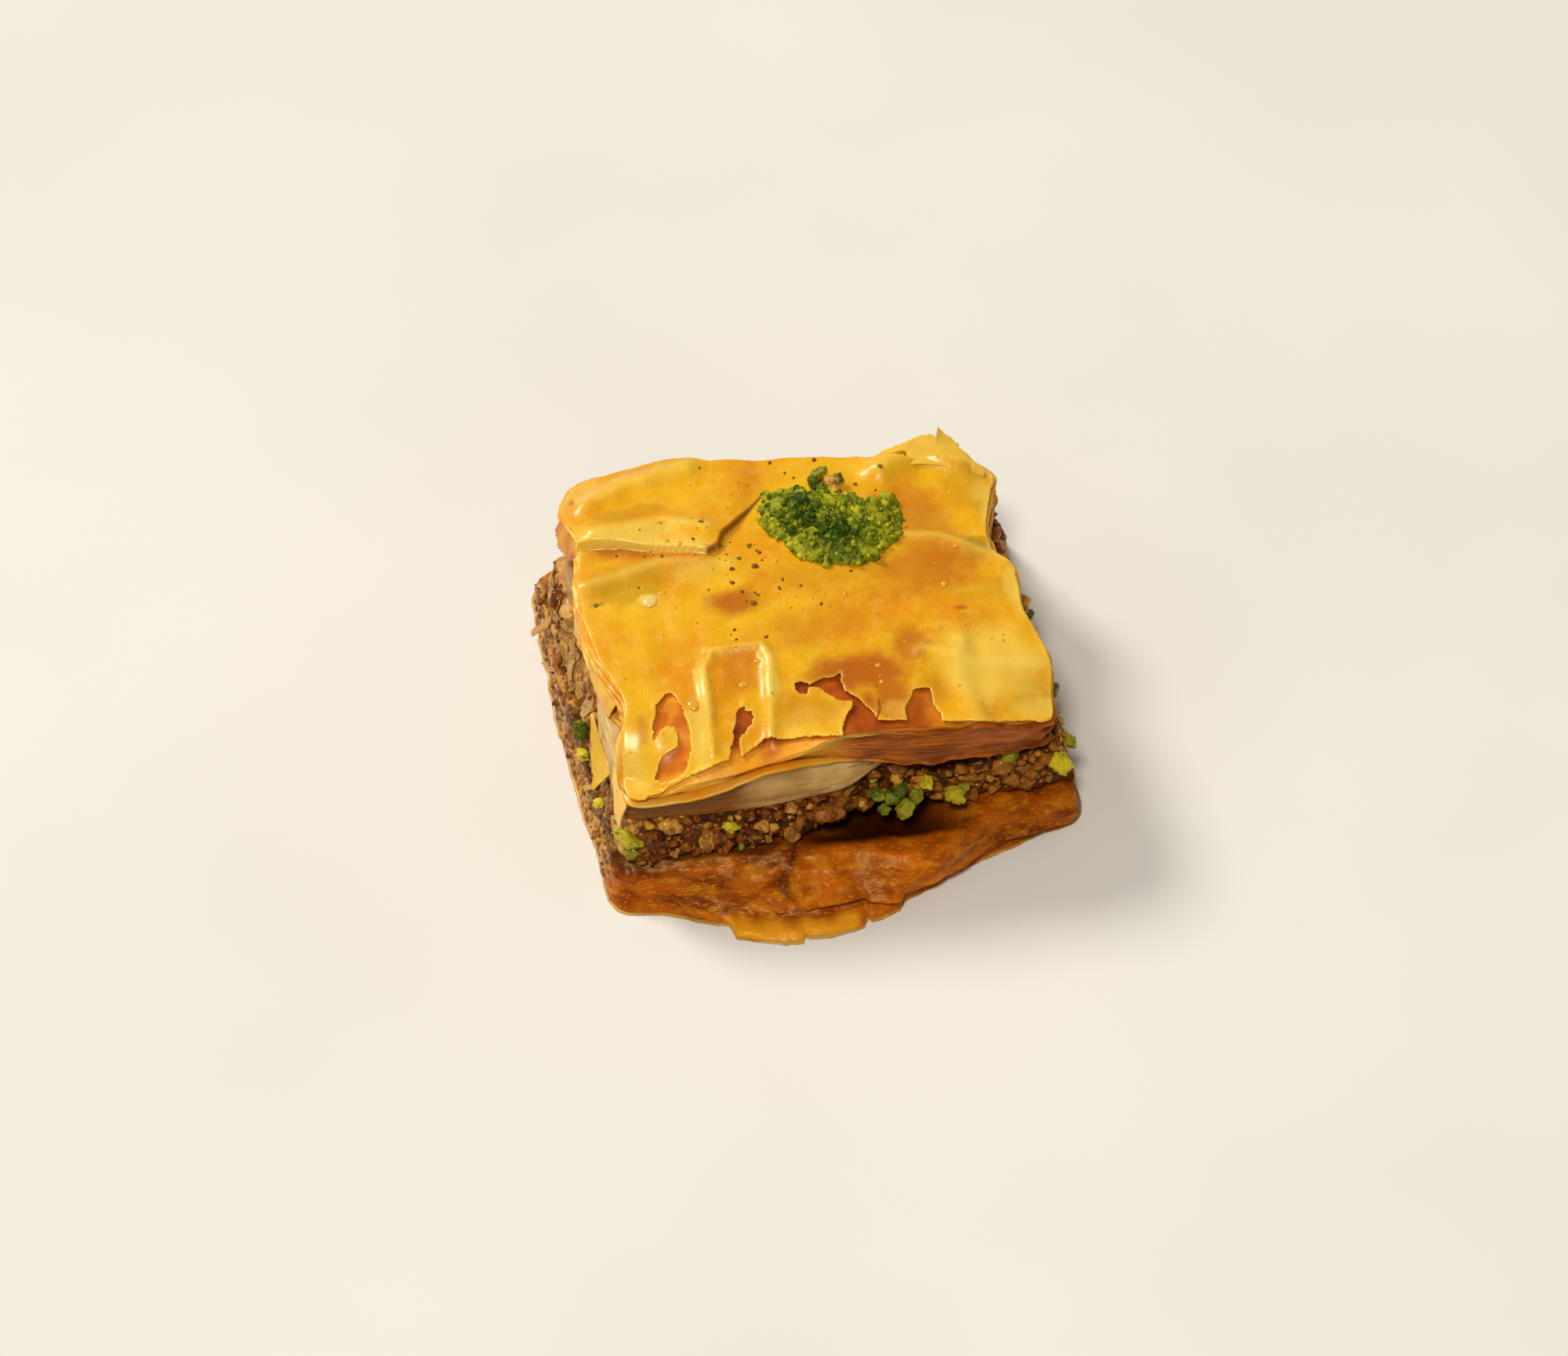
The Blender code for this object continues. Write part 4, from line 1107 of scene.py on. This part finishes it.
def on_leaf(x, y):
    """How far (x, y) is inside the top leaf's front and back edges and clear of its tears; below 0 is off."""
    room = np.full(x.shape, 9.0)
    for edge in (LEAF_FRONT, LEAF_BACK):
        distance, side = along(edge, x, y)
        room = np.minimum(room, np.where(side > 0, distance, -distance))
    for tear in TEARS:
        distance = along(tear + tear[:1], x, y)[0]
        room = np.minimum(room, np.where(inside(tear, x, y), -distance, distance))
    return room + 0.12 * grain(x / 0.9, y / 0.9, 21.0) + 0.05 * grain(x / 0.4, y / 0.4, 22.0)


def leaf_sheet(name, x, y, z, room, thick, finish, values):
    """A thin sheet over a grid of points, cut off where room is below 0. Points near the cut move onto it."""
    cell = 0.75 * np.hypot(x[0, 1] - x[0, 0], y[0, 1] - y[0, 0])
    rise_v, rise_u = np.gradient(room)
    step_xu, step_yu = np.gradient(x, axis=1), np.gradient(y, axis=1)
    step_xv, step_yv = np.gradient(x, axis=0), np.gradient(y, axis=0)
    area = step_xu * step_yv - step_xv * step_yu
    slope_x = (rise_u * step_yv - rise_v * step_yu) / area
    slope_y = (rise_v * step_xu - rise_u * step_xv) / area
    near = np.abs(room) < cell
    steep = np.maximum(slope_x**2 + slope_y**2, 0.25)
    x = np.where(near, x - room * slope_x / steep, x)
    y = np.where(near, y - room * slope_y / steep, y)
    kept = near | (room > 0)
    quads = grid_quads(np.arange(x.size).reshape(x.shape))
    quads = quads[kept.ravel()[quads].all(axis=1) & (room.ravel()[quads].max(axis=1) > cell * 0.5)]
    used, faces = np.unique(quads, return_inverse=True)
    points = np.stack([x.ravel(), y.ravel(), z.ravel()], axis=-1)[used]
    chosen = {title: np.broadcast_to(numbers, x.shape).ravel()[used] for title, numbers in values.items()}
    sheet = new_piece(name, points, faces.reshape(-1, 4).tolist(), finish, chosen, closed=False)
    wall = sheet.modifiers.new("thickness", "SOLIDIFY")
    wall.thickness = thick * MM
    wall.offset = -1.0
    wall.use_rim = True
    applied(sheet, wall)
    return sheet


def patches(spots, x, y, soft=0.55):
    """How strongly (x, y) is covered by patches, each with a middle, two half widths and a strength."""
    cover = np.zeros(x.shape)
    ragged = 0.4 * grain(x / 3.4, y / 3.4, 41.0) + 0.13 * grain(x / 0.9, y / 0.9, 42.0)
    for middle_x, middle_y, half_x, half_y, strength in spots:
        far = np.hypot((x - middle_x) / half_x, (y - middle_y) / half_y) + ragged
        cover = np.maximum(cover, strength * smooth(1.1, 1.1 - soft, far))
    return cover


# The patch just in front of the fold on the left is painted shade; the others are the leaf's own orange.
ORANGE_PATCHES = (
    (5.0, -12.8, 9.5, 4.4, 0.92), (11.5, -9.8, 3.4, 3.8, 0.7), (-21.4, -16.6, 1.0, 2.4, 0.5),
    (-3.5, -16.4, 3.6, 3.2, 0.4), (13.0, -16.0, 3.0, 4.0, 0.4), (5.3, -17.0, 1.8, 2.8, 0.9),
    (-8.0, 0.4, 4.2, 3.0, 0.85), (-9.2, -11.0, 3.4, 4.6, 0.5), (-22.6, 11.0, 1.4, 1.0, 0.8),
    (18.6, -4.3, 0.9, 0.4, 0.8), (8.2, -16.4, 3.4, 4.6, 0.85), (-0.2, -17.4, 2.4, 3.0, 0.45),
    (15.0, 11.0, 6.0, 8.0, 0.5), (15.5, 3.0, 10.0, 6.0, 0.65), (2.0, 3.0, 8.0, 4.0, 0.35),
    (0.0, -5.0, 9.0, 4.0, 0.35),
)
# Two of these are painted highlights, the band just behind the fold and the spot under the large bubble; the
# rest are the leaf's own pale blisters.
PALE_AND_HIGHLIGHT_PATCHES = (
    (21.0, -13.0, 7.5, 7.5, 0.65), (24.5, -19.0, 3.6, 2.0, 0.6), (8.4, -18.4, 1.8, 1.6, 0.35),
    (-2.5, -18.2, 4.5, 2.0, 0.2), (19.3, -16.4, 0.9, 5.0, 0.7), (-15.0, -18.0, 1.8, 4.8, 0.7),
    (-13.6, -12.0, 1.0, 5.5, 0.7), (-5.6, -12.0, 1.0, 5.5, 0.8), (-22.5, -20.5, 2.0, 3.4, 0.55),
    (-17.0, 12.6, 6.0, 1.2, 0.7), (-12.0, 5.4, 4.0, 1.4, 0.35), (-24.0, 22.0, 2.6, 3.6, 0.5),
    (-18.2, 2.5, 1.6, 0.9, 0.9), (25.5, -2.0, 1.3, 6.0, 0.6), (24.5, 13.0, 1.6, 6.0, 0.5),
    (26.0, 18.0, 2.0, 1.2, 0.5),
)
GREEN_PATCHES = (
    (-20.0, 5.5, 6.0, 4.0, 0.55), (-24.2, 3.0, 1.2, 0.5, 0.9), (22.4, 5.4, 2.2, 2.2, 0.8),
    (24.0, 12.0, 1.2, 1.6, 0.7), (24.5, -17.5, 3.4, 2.6, 0.5), (21.0, -1.7, 5.0, 2.2, 0.3),
    (-19.0, 16.5, 5.0, 1.4, 0.4), (23.0, 15.0, 4.0, 4.0, 0.3),
)
CRACK = ((6.5, -17.0), (6.4, -18.5), (5.9, -19.6))
BAKED_GREENISH = srgb(184, 142, 10)
CRACK_SHADE_BROWN = srgb(116, 50, 12)
leaf_finish, nodes, inputs = new_finish("baked_leaf", crust_look)
colour = nodes.noise(8.0, 3.0).between(0.3, 0.75).mix(BAKED_GOLD, BAKED_DEEP)
colour = (nodes.noise(1.4, 4.0, shift=0.6).between(0.45, 0.75) * 0.3).mix(colour, BAKED_PALE)
colour = nodes.value("orange").mix(colour, BAKED_ORANGE)
colour = nodes.value("green").mix(colour, BAKED_GREENISH)
colour = nodes.value("pale").mix(colour, BAKED_PALE)
nodes.value("crack").mix(colour, CRACK_SHADE_BROWN).feed(inputs["Base Color"])
(nodes.noise(2.2, 3.0) * 0.62 + nodes.noise(0.45, 3.0) * 0.38).bump(0.17).feed(inputs["Normal"])

steps = np.linspace(0.0, 1.0, LEAF_STEPS + 1)
u, v = rounded(*np.meshgrid(steps, steps), 30.0)
x, y = plan(CRUST, u, v, ragged_leaf(70, 0.4, SEED + 4))
room = on_leaf(x, y)
z = crust_top(x, y) + LIP_HEIGHT * np.exp(-np.maximum(room, 0.0) / 0.6)
# The pale value is partly painted highlight, on the welts' crests, the fold's ridge and the side rim;
# elsewhere it is the leaf's own paler, lifted edges and blisters.
ridge_highlight = sum(0.45 * bell(along(line, x, y)[0], half * 0.5) for line, half, _ in WELTS)
distance, side = along(FOLD[:3], x, y)
by_fold = smooth(-26.0, -22.0, x) * smooth(-8.5, -11.5, x)
signed = np.where(side > 0, distance, -distance)
ridge_highlight += 0.9 * smooth(-0.35, -0.1, signed) * smooth(2.2, 0.9, signed) * by_fold
fold_shadow = 0.8 * smooth(-0.1, -0.35, signed) * bell(signed + 0.8, 1.3) * by_fold
orange = np.maximum(patches(ORANGE_PATCHES, x, y, 0.8), fold_shadow)
side_rim_highlight = 0.5 * smooth(0.968, 0.99, np.abs(2.0 * u - 1.0)) * (0.6 + 0.6 * grain(y / 3.0, 2.0, 71.0))
pale = np.clip(patches(PALE_AND_HIGHLIGHT_PATCHES, x, y, 0.7) + ridge_highlight + 0.35 * smooth(0.5, 0.0, room) + side_rim_highlight, 0.0, 0.9)
# The dark lines along the fold's diagonal crease and a small crack are painted shade.
crack = bell(along(FOLD[2:], x, y)[0], 0.2) * 0.95 + bell(along(CRACK, x, y)[0], 0.15)
leaf = leaf_sheet("top_leaf", x, y, z, room, LEAF_THICK, leaf_finish, {
    "orange": orange, "pale": pale, "green": patches(GREEN_PATCHES, x, y),
    "crack": np.clip(crack, 0.0, 1.0),
})
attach(leaf, "root")

# Flaps of loose leaf at the edges: one that stands up behind the back right corner and runs out to a spike,
# one folded down over the left side, and papery pale strips that hang down the left side.
FLAP_THICK = 0.16
FLAP_STEP = 0.16
FLAP_WIDE = 26
FLAPS = (
    ("rear_flap", 0.0, 0.0, 0.5,
        ((10.0, 19.6, 20.9), (14.0, 19.2, 21.3), (18.0, 18.9, 21.4), (22.0, 18.0, 20.9), (25.2, 17.2, 19.8)),
        ((10.8, 21.0, 21.2), (14.8, 21.8, 22.0), (18.6, 22.6, 22.6), (21.8, 21.6, 22.0), (25.0, 18.6, 20.4))),
    ("rear_spike", 0.0, 0.0, 0.1,
        ((19.4, 20.6, 21.6), (20.4, 20.6, 21.7), (22.4, 20.2, 21.3)),
        ((20.4, 22.8, 23.3), (20.8, 22.8, 22.9), (22.8, 21.4, 21.7))),
    ("side_fold", 0.8, 0.0, 0.5,
        ((-25.2, 20.4, 20.3), (-25.2, 17.5, 20.2), (-24.9, 14.5, 20.0), (-24.6, 12.0, 19.9)),
        ((-26.0, 20.2, 18.6), (-27.5, 18.4, 17.0), (-27.0, 15.0, 16.6), (-25.6, 12.2, 18.2))),
    ("side_strip_back", 0.6, 0.0, 0.2,
        ((-25.6, 7.0, 18.2), (-25.6, 3.5, 18.0), (-25.2, 0.0, 17.8)),
        ((-26.6, 6.6, 15.6), (-27.0, 3.2, 14.8), (-26.2, -0.2, 15.4))),
    ("side_strip_middle", 0.45, 0.0, 0.2,
        ((-25.4, -1.0, 18.0), (-24.6, -5.0, 17.6), (-23.6, -10.0, 17.2)),
        ((-26.0, -1.2, 16.4), (-25.8, -5.4, 15.2), (-24.6, -10.2, 15.0))),
    ("side_strip_front", 0.15, 0.0, 0.3,
        ((-23.3, -13.5, 16.6), (-23.6, -17.0, 15.9), (-23.9, -20.5, 15.2), (-24.2, -23.4, 14.4)),
        ((-24.2, -13.8, 14.6), (-25.0, -17.2, 13.2), (-25.3, -20.7, 11.8), (-25.2, -23.6, 10.8))),
    ("green_flake", 0.0, 0.75, 0.1,
        ((-26.2, -6.4, 11.8), (-25.7, -11.0, 11.4), (-25.0, -15.4, 11.2)),
        ((-26.5, -6.6, 11.6), (-26.9, -11.2, 10.4), (-27.5, -16.6, 9.6))),
)


def spread(line, steps):
    """Points evenly spaced along a smooth curve through a line's points."""
    line = np.array(line)
    place = np.linspace(0.0, len(line) - 1.0, steps)
    start = np.clip(place.astype(int), 0, len(line) - 2)
    part = (place - start)[:, None]
    before, after = line[np.maximum(start - 1, 0)], line[np.minimum(start + 2, len(line) - 1)]
    near, far = line[start], line[start + 1]
    return near + 0.5 * part * (far - before + part * (2 * before - 5 * near + 4 * far - after
                                + part * (3 * (near - far) + after - before)))


for number, (name, amber, green, bulge, held, free) in enumerate(FLAPS):
    long = int(np.linalg.norm(np.diff(np.array(free), axis=0), axis=1).sum() / FLAP_STEP)
    held, free = spread(held, long), spread(free, long)
    across = np.linspace(0.0, 1.0, FLAP_WIDE)[:, None, None]
    points = held + (free - held) * across
    edge = grain(np.arange(long) * 0.13, number * 5.0) + 0.5 * grain(np.arange(long) * 0.45, number * 7.0)
    points += (free - held) * (0.12 * edge[None, :, None] * across**3)
    points[..., :2] += bulge * np.sin(np.pi * across) * np.sign(points[..., :2]) * (0.5, 0.2)
    points += 0.16 * grain(*np.moveaxis(points / 1.3, -1, 0))[..., None] * across**0.5
    x, y, z = np.moveaxis(points, -1, 0)
    flap_amber = np.clip(amber + 0.3 * grain(x / 2.0, y / 2.0, z / 2.0), 0.0, 1.0)
    flap_pale = (0.65 - 0.5 * green) * (1.0 - flap_amber)
    flap = leaf_sheet(name, x, y, z, np.full(x.shape, 9.0), FLAP_THICK, leaf_finish, {
        "orange": flap_amber, "pale": flap_pale, "green": green, "crack": 0.0})
    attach(flap, "root")

# The ground pistachio: a moist heap of finely ground kernels. A clumpy core carries the larger bits, darker
# green in the middle, and a loose scatter of fine ones.
HEAP_HEIGHT = 2.3
HEAP_EDGE = 0.35
HEAP_AROUND = 240
HEAP_RINGS = 60
GROUND_DARK = srgb(44, 74, 3)
GROUND_GREEN = srgb(120, 136, 6)
GROUND_LIGHT = srgb(218, 206, 40)
ground_finish, nodes, inputs = new_finish("ground_pistachio", {
    "Roughness": 0.55, "Coat Weight": 0.05, "Coat Roughness": 0.2, "Specular IOR Level": 0.15,
    "Subsurface Weight": 0.25, "Subsurface Radius": (0.7, 1.0, 0.15), "Subsurface Scale": 0.5 * MM,
})
tone = nodes.value("tone")
colour = (tone * 0.5 + nodes.value("light") * 0.5).between(0.05, 0.85).mix(GROUND_DARK, GROUND_GREEN)
colour = (nodes.value("light") * tone.between(0.0, 0.8)).mix(colour, GROUND_LIGHT)
colour = (nodes.noise(0.7, 3.0).between(0.5, 0.66) * 0.35).mix(colour, GROUND_LIGHT)
dark = nodes.noise(1.3, 3.0, shift=0.3).between(0.5, 0.64) * 0.6
dark.mix(colour, GROUND_DARK).feed(inputs["Base Color"])
nodes.noise(0.35, 4.0).bump(0.2).feed(inputs["Normal"])


def heap_point(angle, radius):
    """A plan point of the heap at this share of the way from its middle to its edge."""
    wide = 0.05 * grain(3.0 * np.cos(angle), 3.0 * np.sin(angle), 3.0)
    edge = wide + 0.05 * grain(9.0 * np.cos(angle), 9.0 * np.sin(angle), 4.0)
    reach = heap_reach(angle) * radius * (1.0 + edge)
    return HEAP_MIDDLE[0] + reach * np.cos(angle), HEAP_MIDDLE[1] + reach * np.sin(angle)


angle = np.linspace(0.0, math.tau, HEAP_AROUND, endpoint=False)
rings = []
for radius in np.linspace(0.02, 1.0, HEAP_RINGS):
    x, y = heap_point(angle, radius)
    clumps = 0.42 * grain(x / 2.1, y / 2.1, 50.0) + 0.3 * np.abs(grain(x / 0.9, y / 0.9, 51.0))
    clumps = clumps + 0.16 * grain(x / 0.4, y / 0.4, 52.0)
    rise = (1.0 - radius**2.6) * (HEAP_HEIGHT - HEAP_EDGE) + HEAP_EDGE * 0.5
    rings.append(np.stack([x, y, crust_top(x, y) + rise * (0.85 + clumps)], axis=-1))
for radius in (0.98, 0.5):
    x, y = heap_point(angle, radius)
    rings.append(np.stack([x, y, crust_top(x, y) + 0.05], axis=-1))
points, faces = closed_rings(np.array(rings), True)
x, y, z = points.T
shade = np.maximum(bell(x - 1.8, 3.0) * bell(y - 12.4, 3.6), bell(x - 5.6, 3.4) * bell(y - 8.4, 3.4))
light = 0.95 - 1.2 * shade + 0.7 * grain(x / 1.5, y / 1.5, 55.0) - 0.3 * smooth(8.0, 12.0, x)
light = np.clip(light, 0.0, 1.0)
heap = new_piece("pistachio_heap", points, faces, ground_finish, {
    "light": light, "tone": np.full(light.shape, 0.3)})
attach(heap, "root")
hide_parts("ground_pistachio")
upper = smooth(0.0, 0.1, z - crust_top(x, y))
for name, shapes, spacing, sizes, sink, seed in (
    ("pistachio_clumps", pebbles, 1.5, (0.9, 2.0), -0.05, SEED + 3),
    ("pistachio_grains", crumbs, 0.42, (0.3, 0.85), 0.2, SEED + 4),
):
    grains = scattered_piece(name, heap, upper, ground_finish, shapes, spacing, sizes, sink, seed)
    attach(grains, "root")

# Crumbs that fell beside the heap and over the sides: specks of pistachio and brown crumb stuck to the glaze,
# and bright kernels caught at the corners.


def placed_lumps(name, spots, shapes, finish, flat, seed):
    """One mesh of lumps, each at a spot (x, y, z, size, tone) and flat times as high as it is wide."""
    chance = random.Random(seed)
    points, faces, tones = [], [], []
    for x, y, z, size, tone in spots:
        shape = chance.choice(shapes).data
        away = Vector([chance.uniform(-1, 1) for _ in range(3)])
        turn = away.to_track_quat("Z", "Y")
        before = len(points)
        for vertex in shape.vertices:
            place = turn @ vertex.co * size
            points.append((x + place.x, y + place.y, z + place.z * flat))
        faces.extend([[index + before for index in face.vertices] for face in shape.polygons])
        tones.extend([tone] * len(shape.vertices))
    piece = new_piece(name, np.array(points), faces, finish, {"tone": tones, "light": [0.4] * len(tones)})
    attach(piece, "root")
    return piece


LARGE_DROP = 1.6


def on_crust(spots, chance, lift=0.05):
    """Spots (x, y, size) put on the crust, each with a tone, which is 1 for a spot above LARGE_DROP."""
    places = []
    for x, y, size in spots:
        z = float(crust_top(np.array([x]), np.array([y]))[0])
        places.append((x, y, z + lift, size, 1.0 if size > LARGE_DROP else 0.9 * chance.random()))
    return places


chance = random.Random(SEED + 7)
NAMED_SPECKS = (
    (-5.1, 8.9, 0.9), (-4.9, 5.4, 1.0), (-7.9, 3.3, 0.7), (-6.0, -0.3, 0.9), (-2.5, 1.7, 0.7),
    (-8.7, -4.0, 0.5), (-8.7, 9.1, 0.7), (-8.7, -5.6, 0.5), (-15.7, 8.6, 0.6), (-21.1, 10.2, 0.5),
    (9.2, 17.2, 0.7), (12.5, 18.6, 0.7), (11.5, 15.9, 0.4), (-0.6, 22.6, 0.8), (4.9, 22.1, 0.8),
    (-9.3, 22.4, 0.4), (-24.4, 2.9, 0.8), (-11.7, 10.1, 0.5), (-4.0, 7.6, 0.6), (-7.0, 1.6, 0.6),
    (-5.2, 1.0, 0.5), (-6.6, 6.9, 0.6), (-1.9, 2.9, 0.5), (1.0, 20.3, 0.5),
)
SPECK_COUNT = 130
SPECK_BROWN = srgb(142, 72, 12)
SPECK_OLIVE = srgb(128, 126, 18)
SPECK_DARK = srgb(88, 70, 10)
specks = list(NAMED_SPECKS)
while len(specks) < SPECK_COUNT:
    x, y = chance.gauss(-3.0, 7.5), chance.gauss(7.5, 7.5)
    if abs(x) < 23.0 and -20.0 < y < 20.0 and chance.random() < 0.8:
        specks.append((x, y, 0.16 + 0.4 * chance.random() ** 3))
speck_finish, nodes, inputs = new_finish("fallen_specks", {"Roughness": 0.5, "Specular IOR Level": 0.2})
speckle = nodes.value("tone").between(0.3, 0.9).mix(SPECK_BROWN, SPECK_OLIVE)
nodes.noise(0.3, 2.0).between(0.45, 0.75).mix(speckle, SPECK_DARK).feed(inputs["Base Color"])
nodes.noise(0.2, 2.0).bump(0.05).feed(inputs["Normal"])
dark = placed_lumps("crust_specks", on_crust(specks, chance), crumbs, speck_finish, 0.5, SEED + 8)
KERNELS = (
    (-24.2, -23.4, 8.4, 2.9, 0.55), (-23.9, -24.0, 6.9, 2.3, 0.4), (28.0, -20.4, 9.8, 2.6, 1.0),
    (9.0, -22.6, 7.2, 2.3, 0.45), (14.8, -22.6, 8.6, 2.2, 0.6), (11.8, -21.6, 10.2, 1.7, 1.0),
    (7.4, -21.8, 8.4, 2.1, 0.1), (5.8, -21.6, 9.0, 1.8, 0.2), (8.6, -21.6, 9.6, 1.8, 0.15),
    (10.4, -22.2, 8.8, 1.6, 0.35), (6.6, -22.4, 7.0, 1.6, 0.3), (16.2, -22.0, 9.2, 1.4, 0.4),
    (-12.0, -23.6, 8.8, 1.6, 0.9), (29.4, -9.0, 9.2, 2.0, 0.3), (29.6, -17.5, 9.8, 1.9, 0.45),
    (28.4, 3.0, 9.6, 1.8, 0.2), (29.0, -13.0, 8.4, 1.6, 0.6), (-27.9, -7.0, 9.6, 2.0, 0.15),
    (-28.0, -10.2, 8.8, 1.6, 0.9), (-26.8, -17.6, 8.6, 1.3, 0.9), (4.9, 18.6, 22.0, 2.0, 0.4),
    (4.0, 17.2, 22.2, 1.5, 0.15), (7.2, 17.4, 22.0, 1.2, 0.2),
)
HEAP_SHELLS = ((6.4, 17.0, 22.1, 1.9, 0.95), (6.2, 15.5, 22.5, 1.5, 0.8))
chance = random.Random(SEED + 13)
plump = [lump_shape(f"kernel_{i}", chance, 4, 0.42, 2) for i in range(6)]
kernels = placed_lumps("pistachio_kernels", KERNELS, plump, pistachio_finish, 0.9, SEED + 9)
shells = placed_lumps("heap_shells", HEAP_SHELLS, plump, walnut_finish, 0.6, SEED + 14)

# Drops and bubbles of syrup standing on the glaze: clear, domed and golden like the leaf below them, with one
# large bubble on the left whose pale colour is a painted highlight.
DROPS = (
    (-18.0, 2.2, 1.9), (-16.4, 3.2, 0.9), (17.2, -0.3, 0.8), (15.5, -7.0, 0.7), (-8.8, -12.3, 0.9),
    (-15.0, -14.3, 1.5), (5.1, -0.5, 0.5), (-14.9, 10.6, 0.8), (-13.4, 9.7, 0.7), (-6.6, -9.3, 0.8),
    (12.4, -12.1, 0.5), (7.3, -11.8, 0.6), (7.3, -14.3, 0.5), (-22.6, -9.0, 0.6), (-19.5, -8.6, 0.5),
    (13.0, -9.5, 0.5), (19.6, 5.2, 0.6), (2.6, -8.6, 0.4),
)
BUBBLES = 90
DROP_AMBER = srgb(244, 164, 14)
DROP_GOLD = srgb(236, 176, 40)
DROP_HIGHLIGHT = srgb(255, 226, 140)
drop_finish, nodes, inputs = new_finish("glaze_drops", {
    "Roughness": 0.12, "Coat Weight": 1.0, "Coat Roughness": 0.02, "Subsurface Weight": 0.3,
    "Subsurface Radius": (1.0, 0.6, 0.1), "Subsurface Scale": 0.5 * MM,
})
colour = nodes.noise(1.0, 2.0).between(0.3, 0.7).mix(DROP_AMBER, DROP_GOLD)
# The large bubble is painted pale as a highlight.
(nodes.value("tone").between(0.9, 1.0) * 0.65).mix(colour, DROP_HIGHLIGHT).feed(inputs["Base Color"])
bubbles = []
for _ in range(BUBBLES):
    bubbles.append((chance.uniform(-20.0, 24.0), chance.uniform(-18.0, 18.0), chance.uniform(0.2, 0.45)))
drop_shape = lump_shape("drop", random.Random(SEED), 3, 0.0, 0)
spots = on_crust(DROPS + tuple(bubbles), chance, 0.0)
drops = placed_lumps("syrup_drops", spots, [drop_shape], drop_finish, 0.3, SEED + 10)
